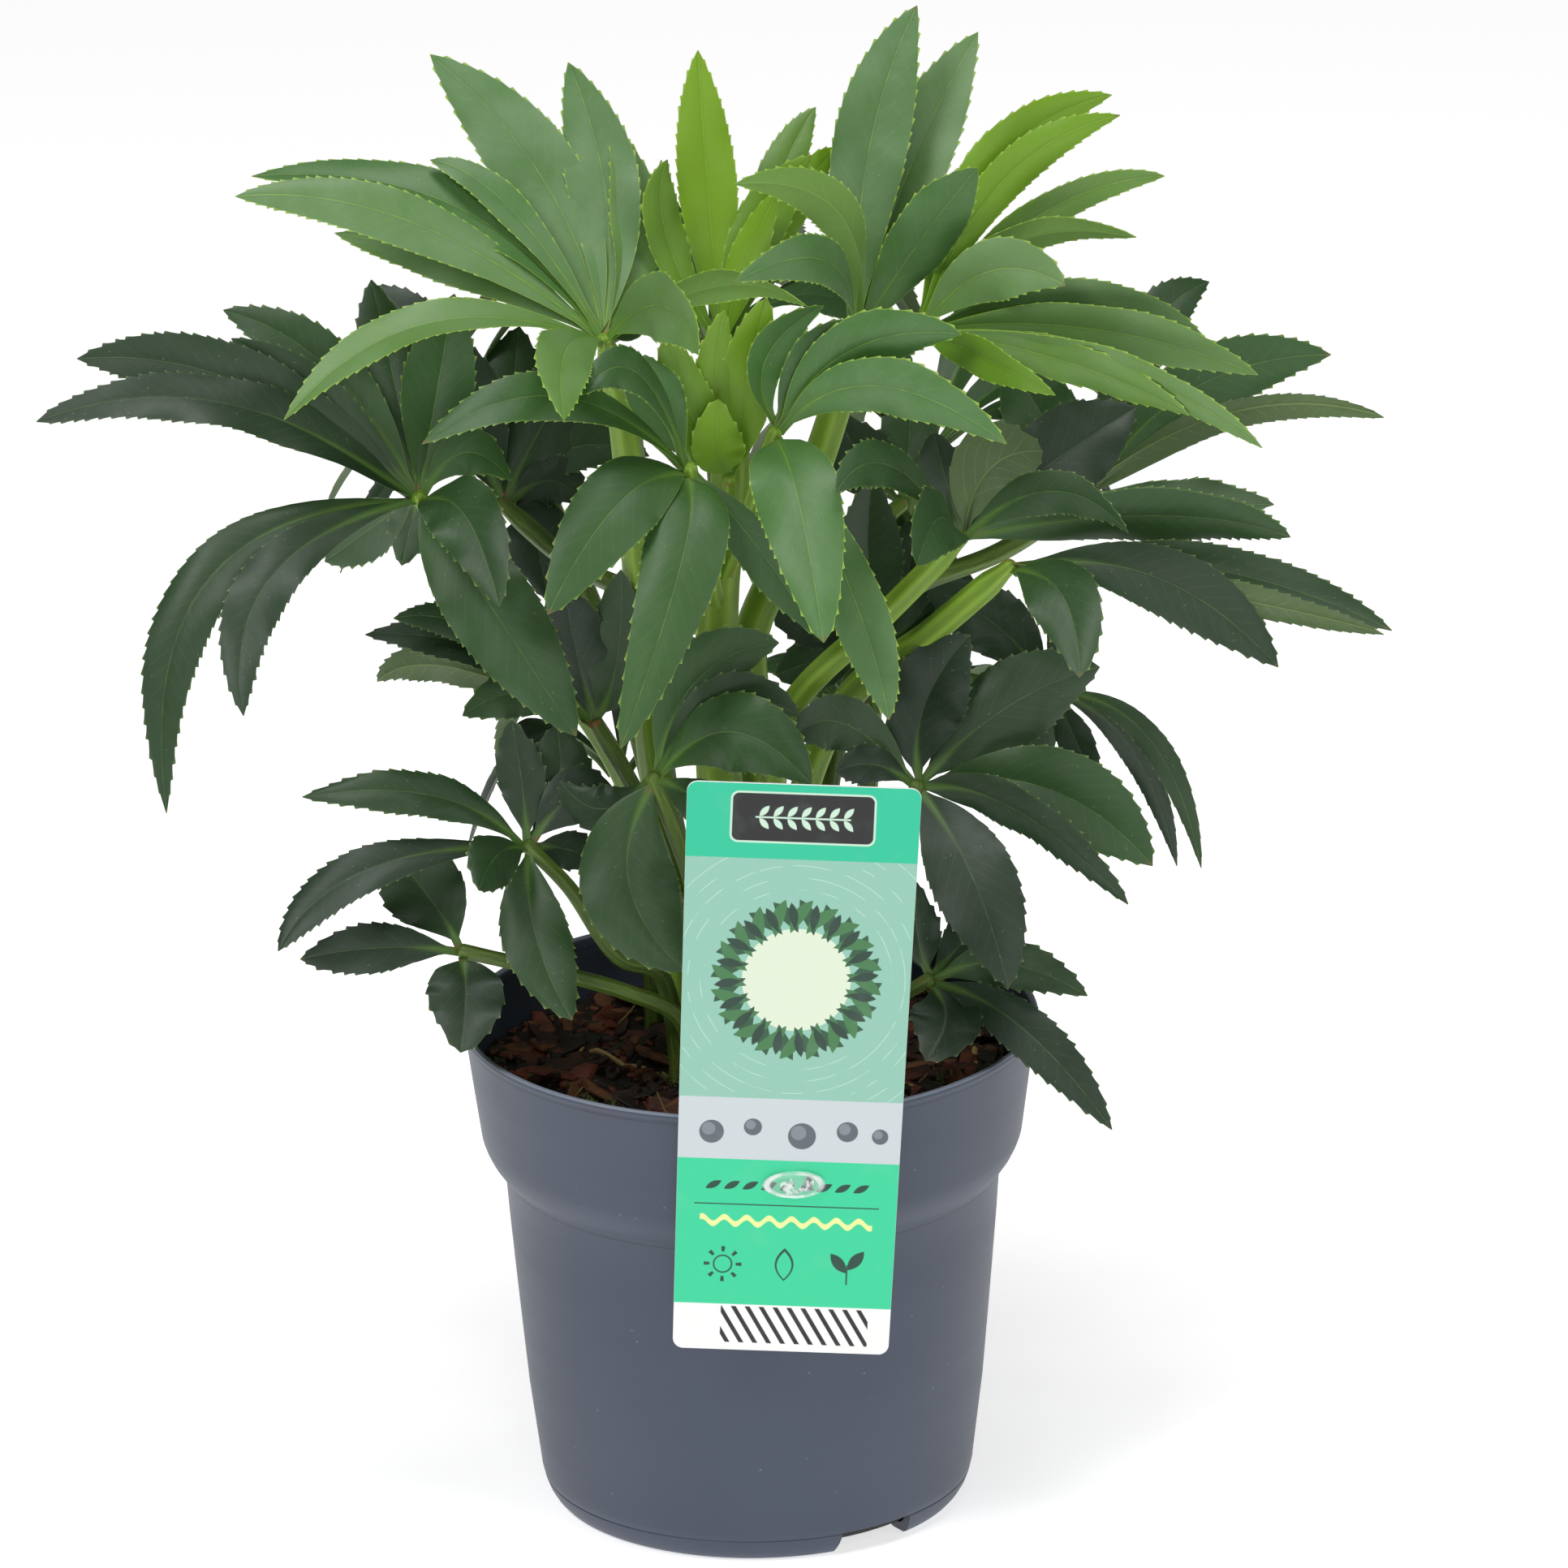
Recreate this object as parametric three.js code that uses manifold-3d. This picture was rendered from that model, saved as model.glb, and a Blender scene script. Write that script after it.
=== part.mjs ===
// A potted hellebore: leafy stems and low leaves with toothed leaflets, rooted in the soil
// of a step-collar nursery pot, with a plain card hung on the rim by a clear clip.
// Millimetres, +Z up. The origin is the middle of the pot's underside, and the front is -Y.
import * as THREE from "three";
import { mergeVertices } from "three/addons/utils/BufferGeometryUtils.js";
import Module from "manifold-3d";

const wasm = await Module();
wasm.setup();

// ---------------------------------------------------------------- driving dimensions

const GAP = 0.35; // air between two pieces that touch

// Pot: outline radii and heights of the moulded shell.
const POT = { height: 125.5, rim: 71.5, collarTop: 70.8, collarFoot: 67.1, collarFootZ: 95.8,
  neck: 61.5, neckZ: 86.5, knee: 54.2, kneeZ: 9, foot: 48.5, wall: 1.3, floor: 2.2, sides: 34 };
// Drainage channels under the floor, one near the front and one opposite.
const CHANNEL = { turn: 34, width: 20, height: 6.2, inner: 26, roof: 1.4 };
const DRAIN = { radius: 3.5, ring: 34, count: 8 };

// Soil: its level under the rim, its mound and its bark chips.
const SOIL = { level: 111, mound: 4, bump: 0.9, sides: 20, holeDepth: 9 };
const CHIPS = { count: 8, seed: 7, long: [9, 19], wide: [4, 8], thick: [2.2, 3.6] };

// Card and clip.
const CARD = { topWidth: 56.6, footWidth: 52.8, thick: 0.6, corner: 2.6, front: -74 };
const CLIP = { x: 14, studZ: 109, stud: 1.8, head: 4.2, headThick: 0.9, strip: 1.1, width: 9,
  legFoot: 103, hookFoot: 117, hookBack: -64 };

// Leaf blades.
const BLADE = { thick: 0.7, stalkWidth: 2.1, toothDepth: 0.16, start: 2.7,
  fullness: 0.8, lean: 1.15, teeth: [0, 0, 14, 21] };
const KNOB = 3.6; // the thickened end of a stalk, where its leaflets meet
const BEND_STEPS = [0, -4, 4, -8, 8, -13, 13, -18, 18, -24, 24, -31, 31, -39, 39, -48, 48];

// ---------------------------------------------------------------- the front sight
// Plant pieces are drawn as they are seen from the front: millimetres to the right of and above
// a corner of the front drawing, and millimetres of depth away from the viewer (world Y).
// The drawing is seen by an eye in front of the plant that looks slightly down on it.

const SIGHT = { distance: 3500, elevation: 19.8, roll: -0.9, aim: [9.3, 0, 185.8], centre: [7.2, 193.2] };

const radians = THREE.MathUtils.degToRad;
const vec = (x, y, z) => new THREE.Vector3(x, y, z);

const ahead = vec(0, Math.cos(radians(SIGHT.elevation)), -Math.sin(radians(SIGHT.elevation)));
const rightward = vec(1, 0, 0).applyAxisAngle(ahead, -radians(SIGHT.roll));
const upward = rightward.clone().cross(ahead);
const eye = vec(...SIGHT.aim).addScaledVector(ahead, -SIGHT.distance);

function sighted([right, up, depth]) {
  const ray = ahead.clone().multiplyScalar(SIGHT.distance)
    .addScaledVector(rightward, right - SIGHT.centre[0])
    .addScaledVector(upward, up - SIGHT.centre[1]);
  return eye.clone().addScaledVector(ray, (depth - eye.y) / ray.y);
}

// ---------------------------------------------------------------- the plant, as drawn
// One entry for each node that stands in the soil. root is where its stalk enters the soil (world X, Y),
// stalk its drawn points from there to the first hub, thick its radius at the soil and at the hub.
// Each leaf has a hub, the drawn point its own stalk leaves from, and its leaflets:
// middle right and up, tip right and up, tip depth beyond the hub, width, roll, and where it isn't 0
// how broad-shouldered it is (1 broad near the hub, below 0 broad near the tip).

const PLANT = [
  { name: "stem_left", tone: "leaf_mid", root: [-12, 8], thick: [4.9, 3.7],
    stalk: [[-24, 196, 8], [-29, 252, 0], [-33, 288, -6]], leaves: [
      { hub: [-37, 303, -10], leaflets: [
        [-52, 342, -80, 373, 35, 20, 0], [-37, 339, -46, 371, 30, 18, -8],
        [-29, 328, -35, 356, 24, 14, 30], [-75, 336.8, -124, 343, 12, 15.5, 40],
        [-85, 332, -128, 338, -7, 13.5, 16], [-82, 307, -116, 283, -26, 12, 40],
        [-46, 301, -47, 283, -56, 15, 0], [-24, 311, -14, 299, -50, 17, 15],
        [-29, 312, -23, 347, 44, 10, 0], [-8, 317, 13, 311, -26, 11, 45],
        [-46, 334, -54, 359, 56, 16, 0], [-72, 321, -103.5, 329, 25, 11, 12],
        [-61, 336, -80, 347, 12, 9, 20]] },
      { hub: [-62, 262, 42], from: [-29, 240, 1], leaflets: [
        [-71, 286, -78, 306, 12, 20, 0], [-60, 285, -58, 306, 24, 20, 0],
        [-51, 284, -42, 296, 14, 20, 0], [-55, 256, -51, 238, -1, 18, 0],
        [-79, 299, -94, 316, 22, 16, 10], [-50, 268, -42, 262, 4, 13, 0],
        [-45, 276, -26, 274, 12, 12, 0]] }] },
  { name: "stem_centre", tone: "leaf_mid", root: [-2, -3], thick: [6.2, 4.3],
    stalk: [[-9, 200, -4], [-9, 240, -3], [-6, 272, 0]], leaves: [
      { hub: [-8, 300, 3], leaflets: [
        [-11.5, 339, -14, 374, 16, 14.5, 0], [-21.5, 328, -21.5, 347, -6, 10, 20],
        [4, 338, 15, 360, 36, 11, 0], [9, 334.5, 20.5, 349.5, 22, 10, 20], [0, 328, 14, 348, 10, 13, 0],
        [-3, 320, 6, 340, 0, 9, 0]] },
      { hub: [-6, 268, -9], from: [-8, 256, -3], leaflets: [
        [-2, 292, 3, 313, 2, 14, 0, 0.4], [-9, 276, -9, 288, -6, 13, 0, 0.6],
        [-15.5, 284, -21.5, 306, -4, 14, 0, 0.5], [-9.5, 289, -7.5, 310, 0, 11, 10, 0.5]] },
      { hub: [5, 280, -20], from: [-8, 244, -4], leaflets: [
        [24, 300, 51, 304, -12, 15, 20], [30, 291, 62, 277, -22, 15, 25], [3, 298, 17, 311, 12, 10, 15],
        [13, 297, 25, 307, -2, 10, 20], [11, 262, 17, 228, -42, 21, 0, 1],
        [24, 240, 33, 209, -28, 14, 10]] },
      { hub: [-16, 271, -24], from: [-9, 236, -4], leaflets: [
        [-49, 289, -82, 277, -30, 13, 30], [-34, 262, -51, 235, -30, 20, 10, 0.6],
        [-18, 248, -33, 202, -38, 20, 0, 1], [-24, 288, -27, 299, 12, 14, 0],
        [-29, 295, -43, 289, -24, 11, 30], [0, 252, 16, 229, -14, 12, 20]] }] },
  { name: "stem_right", tone: "leaf_young", root: [6, 10], thick: [5.4, 3.8],
    stalk: [[0, 205, 10], [-1, 229, 9], [5, 245, 8], [17, 277, 5]], leaves: [
      { hub: [25, 303, 4], leaflets: [
        [28, 348.5, 40, 385, 26, 18.5, 0], [38, 344.5, 55, 378.5, 40, 18, 0],
        [41, 327, 55, 345, -6, 16, 20], [20, 334, -5, 341, -22, 12, 25],
        [18, 322, -5, 317, -42, 12, 20]] },
      { hub: [40, 305, -2], from: [22, 290, 4], leaflets: [
        [58.5, 345.3, 88, 363, 38, 13, 20], [61.5, 342, 90, 358, 22, 10.5, 10],
        [70.5, 333.3, 101, 343, 26, 9.5, 25, 0.6], [64, 327.3, 94, 328, 10, 9, 35, 0.4],
        [58, 319.5, 76.5, 316, -12, 15.5, 10], [80, 311, 112, 301, -5, 14, 20],
        [83, 305, 124, 294, -16, 14, 30], [76, 297, 107, 284, -28, 12, 30],
        [87, 296, 125, 276, -36, 10, 40], [54, 299, 74, 289, -42, 10, 25]] },
      { hub: [36, 262, 36], from: [5, 243, 8], leaflets: [
        [28, 254, 23, 242, -4, 16, 0], [33, 246, 31, 234, 6, 16, 0], [42, 250, 46, 238, 2, 14, 0],
        [27, 272, 20, 285, 8, 17, 0], [38, 277, 38, 291, 12, 15, 0]] }] },
  { name: "stem_right_low", tone: "leaf_dark", root: [9, -14], thick: [3.9, 3],
    stalk: [[4, 188, -15], [9, 212, -17], [32, 235, -16]], leaves: [
      { hub: [51, 254, -15], leaflets: [
        [46, 259, 40, 247, -38, 17, 0, 0.6], [33, 272, 20, 265, -26, 12, 25],
        [58, 271, 71, 275, 14, 20, 0], [47, 268, 44, 280, 16, 13, 0], [73, 265, 92, 255, -28, 13, 30],
        [99, 259, 132, 254, 0, 14, 25, 0.4], [74, 273, 94, 286, 28, 22, 0]] },
      { hub: [82, 265, 26], from: [40, 243, -12], leaflets: [
        [109, 291, 142, 299, 10, 17, 10], [119, 284.5, 155, 283.5, -6, 8.5, 150, 1],
        [95.5, 302, 112, 317, 34, 14.5, 0], [72, 282, 62, 298, 36, 19, 0],
        [104, 262, 128, 262, 20, 14, 30]] }] },
  { name: "stem_far_right", tone: "leaf_dark", root: [18, 1], thick: [4.2, 3.1],
    stalk: [[10, 180, 2], [22, 213, -1], [44, 231, -12]], leaves: [
      { hub: [63, 247, -21], leaflets: [
        [75.5, 240, 80, 219.5, -32, 17.5, 0, 0.3], [99, 244, 129, 222, -16, 17, 10, -0.5],
        [112, 246, 157, 231, 6, 13, 25], [114, 239, 155, 230, -6, 10, 150]] },
      { hub: [72, 217, 20], from: [36, 225, -11], leaflets: [
        [97, 204.5, 110, 172.5, -10, 7, 10], [92.5, 202, 104, 173, 4, 7, 10],
        [78.5, 205, 84, 191, -14, 9, 10], [68, 206, 60, 198, 4, 14, 0], [60, 232, 42, 242, 6, 17, 0],
        [78, 232, 82, 240, 18, 13, 0]] }] },
  { name: "leaf_far_left", tone: "leaf_dark", root: [-16, -1], thick: [3.4, 2.2],
    stalk: [[-31, 192, 0], [-58, 232, -2], [-74, 253, -6]], leaves: [
      { hub: [-83, 264, -10], leaflets: [
        [-126, 292, -167, 298, 0, 17, 10], [-131, 287.5, -177, 282.5, -14, 15, 35, 1],
        [-105, 295.5, -131, 310, 18, 14.5, 5], [-107, 288, -129, 303, 6, 12, 10],
        [-88.5, 291, -94.5, 317.5, 28, 17, 0], [-135.5, 243, -145, 186, -34, 15, 15],
        [-119.5, 244, -126, 210, -46, 14, 10], [-72, 260, -63, 237, -36, 18, 0, 0.5],
        [-78.5, 289, -74, 314, 26, 18, 0], [-64.5, 236, -44, 205, -30, 22, 0, 0.5],
        [-95, 256, -106, 248, 24, 14, 0], [-71, 275, -60, 268, 4, 12, 0],
        [-85, 256, -87, 247, 12, 11, 0, 0.4]] }] },
  { name: "leaf_mid_left", tone: "leaf_dark", root: [-11, -12], thick: [2.6, 1.9],
    stalk: [[-26, 184, -12]], leaves: [
      { hub: [-39, 208, -6], leaflets: [
        [-66, 226.5, -96, 230, -6, 12, 25], [-66, 230.4, -89, 234, 16, 9.5, 20],
        [-74, 222.5, -93, 218.5, 30, 10.5, 150], [-57, 215.5, -72, 210, 18, 12, 0],
        [-44, 226, -47, 242, 18, 18, 0], [-34, 224, -33, 246, 10, 16, 0]] }] },
  { name: "leaf_low_left", tone: "leaf_dark", root: [-18, -16], thick: [2.4, 1.8],
    stalk: [[-24, 147, -19], [-33, 150, -20], [-46, 168, -21]], leaves: [
      { hub: [-56, 178, -22], leaflets: [
        [-80, 190.8, -111.5, 190, -10, 12, 20], [-96.5, 172, -117.5, 152, -26, 12.5, 20, -0.3],
        [-57.5, 194, -60, 209, 10, 12, 0], [-48.5, 193, -49, 208, 16, 17, 0, -0.3],
        [-45, 190, -35, 190.5, 8, 14, 0], [-46, 177, -38, 174, 6, 10, 0],
        [-54, 156, -45, 135, -25, 17, 0, 0.3], [-63, 176, -68, 167, -30, 14, 0]] }] },
  { name: "leaf_edge_left", tone: "leaf_dark", root: [-14, -26], thick: [2.2, 1.7],
    stalk: [[-19, 136, -27], [-32, 142, -27], [-50, 147, -27]], leaves: [
      { hub: [-72, 152, -26], leaflets: [
        [-92, 152.8, -112, 150, -12, 12.5, 0, -0.2], [-80, 165, -91, 178, 10, 20, 0, -0.5],
        [-71.3, 141.5, -72.5, 127, -20, 19, 0, 0.5]] }] },
  { name: "leaf_mid_right", tone: "leaf_dark", root: [27, 12], thick: [2.6, 2.1],
    stalk: [[28, 190, 20]], leaves: [
      { hub: [30, 226, 24], leaflets: [
        [28, 247, 29, 269, 10, 17, 0], [37, 243, 40, 259, 16, 15, 0], [44, 237, 53, 246, 18, 14, 0],
        [17, 233.5, 4, 234.5, 8, 15, 0], [17, 224, 5, 220, 4, 14.5, 0]] }] },
  { name: "leaf_low_centre", tone: "leaf_dark", root: [-3, -24], thick: [2.6, 1.9],
    stalk: [[-15, 168, -28]], leaves: [
      { hub: [-25, 195, -30], leaflets: [
        [-14, 219, 6, 228, 6, 17, 0], [-6, 206, 14, 193, -16, 20, 0], [-8, 213, 11, 210, -2, 14, 10],
        [-31, 169, -17, 147, -18, 24, 0, 0.3], [-38, 187, -48, 194, 12, 12, 0],
        [-15, 190, -10, 185, -20, 11, 0]] }] },
  { name: "leaf_low_right", tone: "leaf_dark", root: [22, -14], thick: [2.6, 1.9],
    stalk: [[31, 160, -18]], leaves: [
      { hub: [40, 193, -20], leaflets: [
        [42, 213, 53, 230, 12, 20, 0], [62, 212, 85, 222, 6, 21, 0],
        [72, 192, 98, 173, -16, 22, 0, -0.3], [65, 186, 92, 163.5, -30, 12, 35, 0.6],
        [53.5, 170.5, 62.5, 143, -32, 21, 0, 0.2], [22, 208, 9, 204, -8, 14, 0],
        [29, 198, 20, 196, -12, 10, 0]] }] },
  { name: "leaf_edge_right", tone: "leaf_dark", root: [12, -26], thick: [2.2, 1.7],
    stalk: [[28, 136, -27]], leaves: [
      { hub: [43, 145, -28], leaflets: [
        [62, 149, 82, 141, -4, 12, 0], [66, 133, 88, 108, -28, 12.5, 0], [47, 136, 42, 125, -19, 18, 0],
        [52, 155, 60, 163, 22, 12, 0], [40, 157, 40, 169, 14, 12, 0]] }] },
];

// Leaves that stand behind the stems. Each is a fan of leaflets about its own outward direction:
// root and hub (world), outward turn in degrees, reach and width of the middle leaflet.
const BACK_LEAVES = [
  { name: "leaf_back_left", root: [-16, 20], hub: [-50, 68, 243],
    turn: 112, reach: 76, width: 19, count: 5 },
  { name: "leaf_back_middle", root: [-2, 25], hub: [-8, 64, 280],
    turn: 92, reach: 86, width: 20, count: 6 },
  { name: "leaf_back_right", root: [14, 21], hub: [46, 70, 248],
    turn: 66, reach: 76, width: 19, count: 5 },
  { name: "leaf_back_low_left", root: [-24, 27], hub: [-32, 62, 168],
    turn: 104, reach: 56, width: 17, count: 4 },
  { name: "leaf_back_low_right", root: [23, 28], hub: [32, 62, 172],
    turn: 74, reach: 56, width: 17, count: 4 },
];
const FAN = { spread: 176, rise: 26, droop: 34, sideDrop: 0.78, seed: 11 };

// ---------------------------------------------------------------- materials

const finish = (color, roughness) => new THREE.MeshStandardMaterial({ color, roughness, metalness: 0 });
const TONES = {
  leaf_dark: finish(0x35523a, 0.55),
  leaf_mid: finish(0x4d7b3a, 0.5),
  leaf_young: finish(0x5f9440, 0.5),
  pot: finish(0x59616f, 0.45),
  soil: finish(0x3a2418, 0.95),
  card: finish(0x6fd2b0, 0.4),
  clip: finish(0xe4ecee, 0.15),
};

// ---------------------------------------------------------------- solids

function toSolid(geometry) {
  const bare = geometry.clone();
  bare.deleteAttribute("normal");
  bare.deleteAttribute("uv");
  const merged = mergeVertices(bare, 1e-4);
  return new wasm.Manifold(new wasm.Mesh({
    numProp: 3,
    vertProperties: Float32Array.from(merged.attributes.position.array),
    triVerts: Uint32Array.from(merged.index.array),
  }));
}

function toGeometry(solid) {
  const mesh = solid.getMesh();
  const geometry = new THREE.BufferGeometry();
  geometry.setAttribute("position", new THREE.BufferAttribute(mesh.vertProperties, 3));
  geometry.setIndex(new THREE.BufferAttribute(mesh.triVerts, 1));
  geometry.computeVertexNormals();
  return geometry;
}

const joined = (solids) => solids.reduce((whole, piece) => whole.add(piece));

// Joined into one body: a loose scrap or a sealed hollow that the joining leaves is dropped.
function oneBody(solids) {
  const bodies = joined(solids).decompose();
  return bodies.reduce((largest, body) => (body.volume() > largest.volume() ? body : largest));
}

// A closed skin over rings of equal point count, each ring anticlockwise about the way ahead.
function skinned(rings, splitAlike) {
  const points = rings.flat();
  const around = rings[0].length;
  const faces = [];
  for (let k = 0; k + 1 < rings.length; k += 1) {
    for (let i = 0; i < around; i += 1) {
      const a = k * around + i;
      const b = k * around + (i + 1) % around;
      const c = b + around;
      const d = a + around;
      if (splitAlike && i >= around / 2) faces.push(a, b, d, b, c, d);
      else faces.push(a, b, c, a, c, d);
    }
  }
  const last = points.length - around;
  for (let i = 1; i + 1 < around; i += 1) {
    faces.push(0, i + 1, i);
    faces.push(last, last + i, last + i + 1);
  }
  return new THREE.BufferGeometry().setFromPoints(points).setIndex(faces);
}

// A tapering round stalk through points, with one ring at each.
function stalkSolid(points, startRadius, endRadius, sides, grow = 0) {
  const curve = new THREE.CatmullRomCurve3(points);
  const steps = Math.max(3, Math.round(curve.getLength() / 30));
  const frames = curve.computeFrenetFrames(steps);
  const rings = [];
  for (let k = 0; k <= steps; k += 1) {
    const centre = curve.getPointAt(k / steps);
    const radius = THREE.MathUtils.lerp(startRadius, endRadius, k / steps) + grow;
    rings.push(Array.from({ length: sides }, (_, i) => {
      const turn = (2 * Math.PI * i) / sides;
      return centre.clone()
        .addScaledVector(frames.normals[k], radius * Math.cos(turn))
        .addScaledVector(frames.binormals[k], radius * Math.sin(turn));
    }));
  }
  return toSolid(skinned(rings, false));
}

// ---------------------------------------------------------------- leaf blades

// Half width along a leaflet, 0 at the hub and 1 at the tip: a narrow stalk, then the leafy part.
function bladeHalf(along, width, shoulder) {
  const swell = Math.max(0, Math.sin(Math.PI * along ** (BLADE.lean - 0.4 * shoulder)));
  return Math.max(BLADE.stalkWidth, width * swell ** (BLADE.fullness - 0.2 * Math.max(0, shoulder))) / 2;
}

// Stations along the blade with the left and right half widths there: from the widening stretch on,
// each station is a tooth on one side and a notch on the other, in turn.
function bladeStations(width, shoulder) {
  const teeth = BLADE.teeth.filter((from) => width >= from).length;
  const plain = (along) => [along, bladeHalf(along, width, shoulder), bladeHalf(along, width, shoulder)];
  const stations = [plain(0), plain(0.24)];
  for (let k = 0; k < teeth; k += 1) {
    const along = 0.28 + ((k + 1) * 0.67) / (teeth + 0.4);
    const half = bladeHalf(along, width, shoulder);
    const [tooth, notch] = [half * (1 + BLADE.toothDepth / 2), half * (1 - BLADE.toothDepth)];
    stations.push(k % 2 ? [along, tooth, notch] : [along, notch, tooth]);
  }
  stations.push([1, 0.45, 0.45]);
  return stations;
}

// A leaflet is a thin blade on an arched midline. face is where its upper side looks.
function bladeSolid(leaflet, bend, grow = 0) {
  const tip = leaflet.tip.clone().addScaledVector(leaflet.bendWay, bend);
  const middle = leaflet.middle.clone().addScaledVector(leaflet.bendWay, bend * 0.45);
  const start = leaflet.hub.clone().add(middle.clone().sub(leaflet.hub).setLength(BLADE.start));
  const control = middle.clone().multiplyScalar(2).addScaledVector(start, -0.5).addScaledVector(tip, -0.5);
  const midline = new THREE.QuadraticBezierCurve3(start, control, tip);
  const chord = tip.clone().sub(leaflet.hub).normalize();
  const across = chord.clone().cross(leaflet.face).normalize().applyAxisAngle(chord, radians(leaflet.roll));
  const rings = bladeStations(leaflet.width, leaflet.shoulder).map(([along, left, right]) => {
    const way = midline.getTangent(along);
    const side = across.clone().addScaledVector(way, -across.dot(way)).normalize();
    const up = side.clone().cross(way).normalize();
    const corner = (reach, lift) =>
      midline.getPoint(along).addScaledVector(side, reach).addScaledVector(up, lift);
    const thick = BLADE.thick / 2 + grow;
    const [from, to] = [-left - grow, right + grow];
    return [corner(from, -thick), corner(from, thick), corner(to, thick), corner(to, -thick)];
  });
  return toSolid(skinned(rings, true));
}

const boxOf = (solid) => {
  const { min, max } = solid.boundingBox();
  return new THREE.Box3(vec(...min), vec(...max));
};
const placed = (owner, leaf, solid) => ({ owner, leaf, solid, box: boxOf(solid) });

// The first bend along the ladder that holds the leaflet clear of what other leaves and stems fill.
function bentClear(leaflet, others, label) {
  for (const bend of BEND_STEPS) {
    const grown = bladeSolid(leaflet, bend, GAP);
    const room = boxOf(grown);
    const blocked = others.some((other) =>
      other.box.intersectsBox(room) && other.solid.intersect(grown).volume() > 1e-3);
    if (!blocked) return bladeSolid(leaflet, bend);
  }
  throw new Error(`no bend holds ${label} clear`);
}

// ---------------------------------------------------------------- leaflets from the tables

function drawnLeaflet(hub, [midRight, midUp, tipRight, tipUp, tipDepth, width, roll, shoulder = 0]) {
  const depth = hub[2] + tipDepth;
  const tip = sighted([tipRight, tipUp, depth]);
  return {
    hub: sighted(hub),
    middle: sighted([midRight, midUp, hub[2] + tipDepth * 0.55]),
    tip,
    face: eye.clone().sub(tip).normalize(),
    bendWay: sighted([tipRight, tipUp, depth + 1]).sub(tip),
    width,
    roll,
    shoulder,
  };
}

function seededRandom(seed) {
  let state = seed;
  return () => {
    state = (state * 16807) % 2147483647;
    return state / 2147483647;
  };
}

// A fan of leaflets about an outward direction: the middle ones reach furthest, all rise and then droop.
function fanLeaflets(leaf, random) {
  const hub = vec(...leaf.hub);
  return Array.from({ length: leaf.count }, (_, k) => {
    const share = leaf.count > 1 ? k / (leaf.count - 1) - 0.5 : 0;
    const turn = radians(leaf.turn + FAN.spread * share + 8 * (random() - 0.5));
    const reach = leaf.reach * (1 - (1 - FAN.sideDrop) * Math.abs(2 * share)) * (0.92 + 0.16 * random());
    const out = vec(Math.cos(turn), Math.sin(turn), 0);
    const rise = FAN.rise * (1 - 0.7 * Math.abs(share)) * (0.8 + 0.4 * random());
    return {
      hub,
      middle: hub.clone().addScaledVector(out, reach * 0.52).add(vec(0, 0, rise * 0.75)),
      tip: hub.clone().addScaledVector(out, reach * 0.9).add(vec(0, 0, rise - FAN.droop)),
      face: vec(0, 0, 1).addScaledVector(out, 0.35).normalize(),
      bendWay: vec(0, 0, 1),
      width: leaf.width * (0.86 + 0.22 * random()),
      roll: 24 * (random() - 0.5),
      shoulder: 0,
    };
  });
}

// ---------------------------------------------------------------- pot

// Turned about +Z from [radius, height] points.
const turned = (outline, sides) =>
  new THREE.LatheGeometry(outline.map(([r, z]) => new THREE.Vector2(r, z)), sides).rotateX(Math.PI / 2);
const lathe = (outline, sides) => toSolid(turned(outline, sides));

const OUTER = [
  [POT.foot, 0], [51.2, 1.6], [53.3, 5], [POT.knee, POT.kneeZ], [58.1, 45],
  [POT.neck, POT.neckZ], [64.3, 90], [66.4, 93.4], [POT.collarFoot, POT.collarFootZ],
  [POT.collarTop, POT.height - 2], [POT.rim, POT.height - 1.5], [POT.rim, POT.height - 0.4],
  [POT.rim - 0.4, POT.height]];
const INNER = [
  [POT.rim - 1.6, POT.height], [POT.collarTop - POT.wall, POT.height - 1],
  [POT.collarFoot - POT.wall, POT.collarFootZ + 0.4], [POT.neck - POT.wall, POT.neckZ + 0.8],
  [POT.knee - POT.wall, POT.kneeZ], [51.6, 5.2], [POT.foot, POT.floor]];

// A block along +X from one radius to another, standing on z = foot, turned about +Z.
function radialBlock(from, to, width, foot, top, turn) {
  const block = new THREE.BoxGeometry(to - from, width, top - foot);
  block.translate((from + to) / 2, 0, (foot + top) / 2);
  return toSolid(block.rotateZ(radians(turn)));
}

const channelTurns = [-90 + CHANNEL.turn, 90 + CHANNEL.turn];

function channelHousings(grow) {
  const envelope = lathe([[0, 0], ...OUTER, [0, POT.height]], POT.sides);
  const [inner, roof] = [CHANNEL.inner - CHANNEL.roof - grow, CHANNEL.height + CHANNEL.roof + grow];
  const width = CHANNEL.width + 2 * (CHANNEL.roof + grow);
  return channelTurns.map((turn) =>
    envelope.intersect(radialBlock(inner, POT.knee, width, POT.floor / 2, roof, turn)));
}

function potSolid() {
  let pot = joined([lathe([[0, 0], ...OUTER, ...INNER, [0, POT.floor]], POT.sides), ...channelHousings(0)]);
  for (const turn of channelTurns) {
    pot = pot.subtract(radialBlock(CHANNEL.inner, POT.rim, CHANNEL.width, -1, CHANNEL.height, turn));
  }
  for (let k = 0; k < DRAIN.count; k += 1) {
    const turn = radians(CHANNEL.turn - 90 + (360 * (k + 0.5)) / DRAIN.count);
    const [x, y] = [DRAIN.ring * Math.cos(turn), DRAIN.ring * Math.sin(turn)];
    const drill = new THREE.CylinderGeometry(DRAIN.radius, DRAIN.radius, 3 * POT.floor, 10)
      .rotateX(Math.PI / 2);
    pot = pot.subtract(toSolid(drill.translate(x, y, POT.floor / 2)));
  }
  return pot;
}

// ---------------------------------------------------------------- soil

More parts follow.
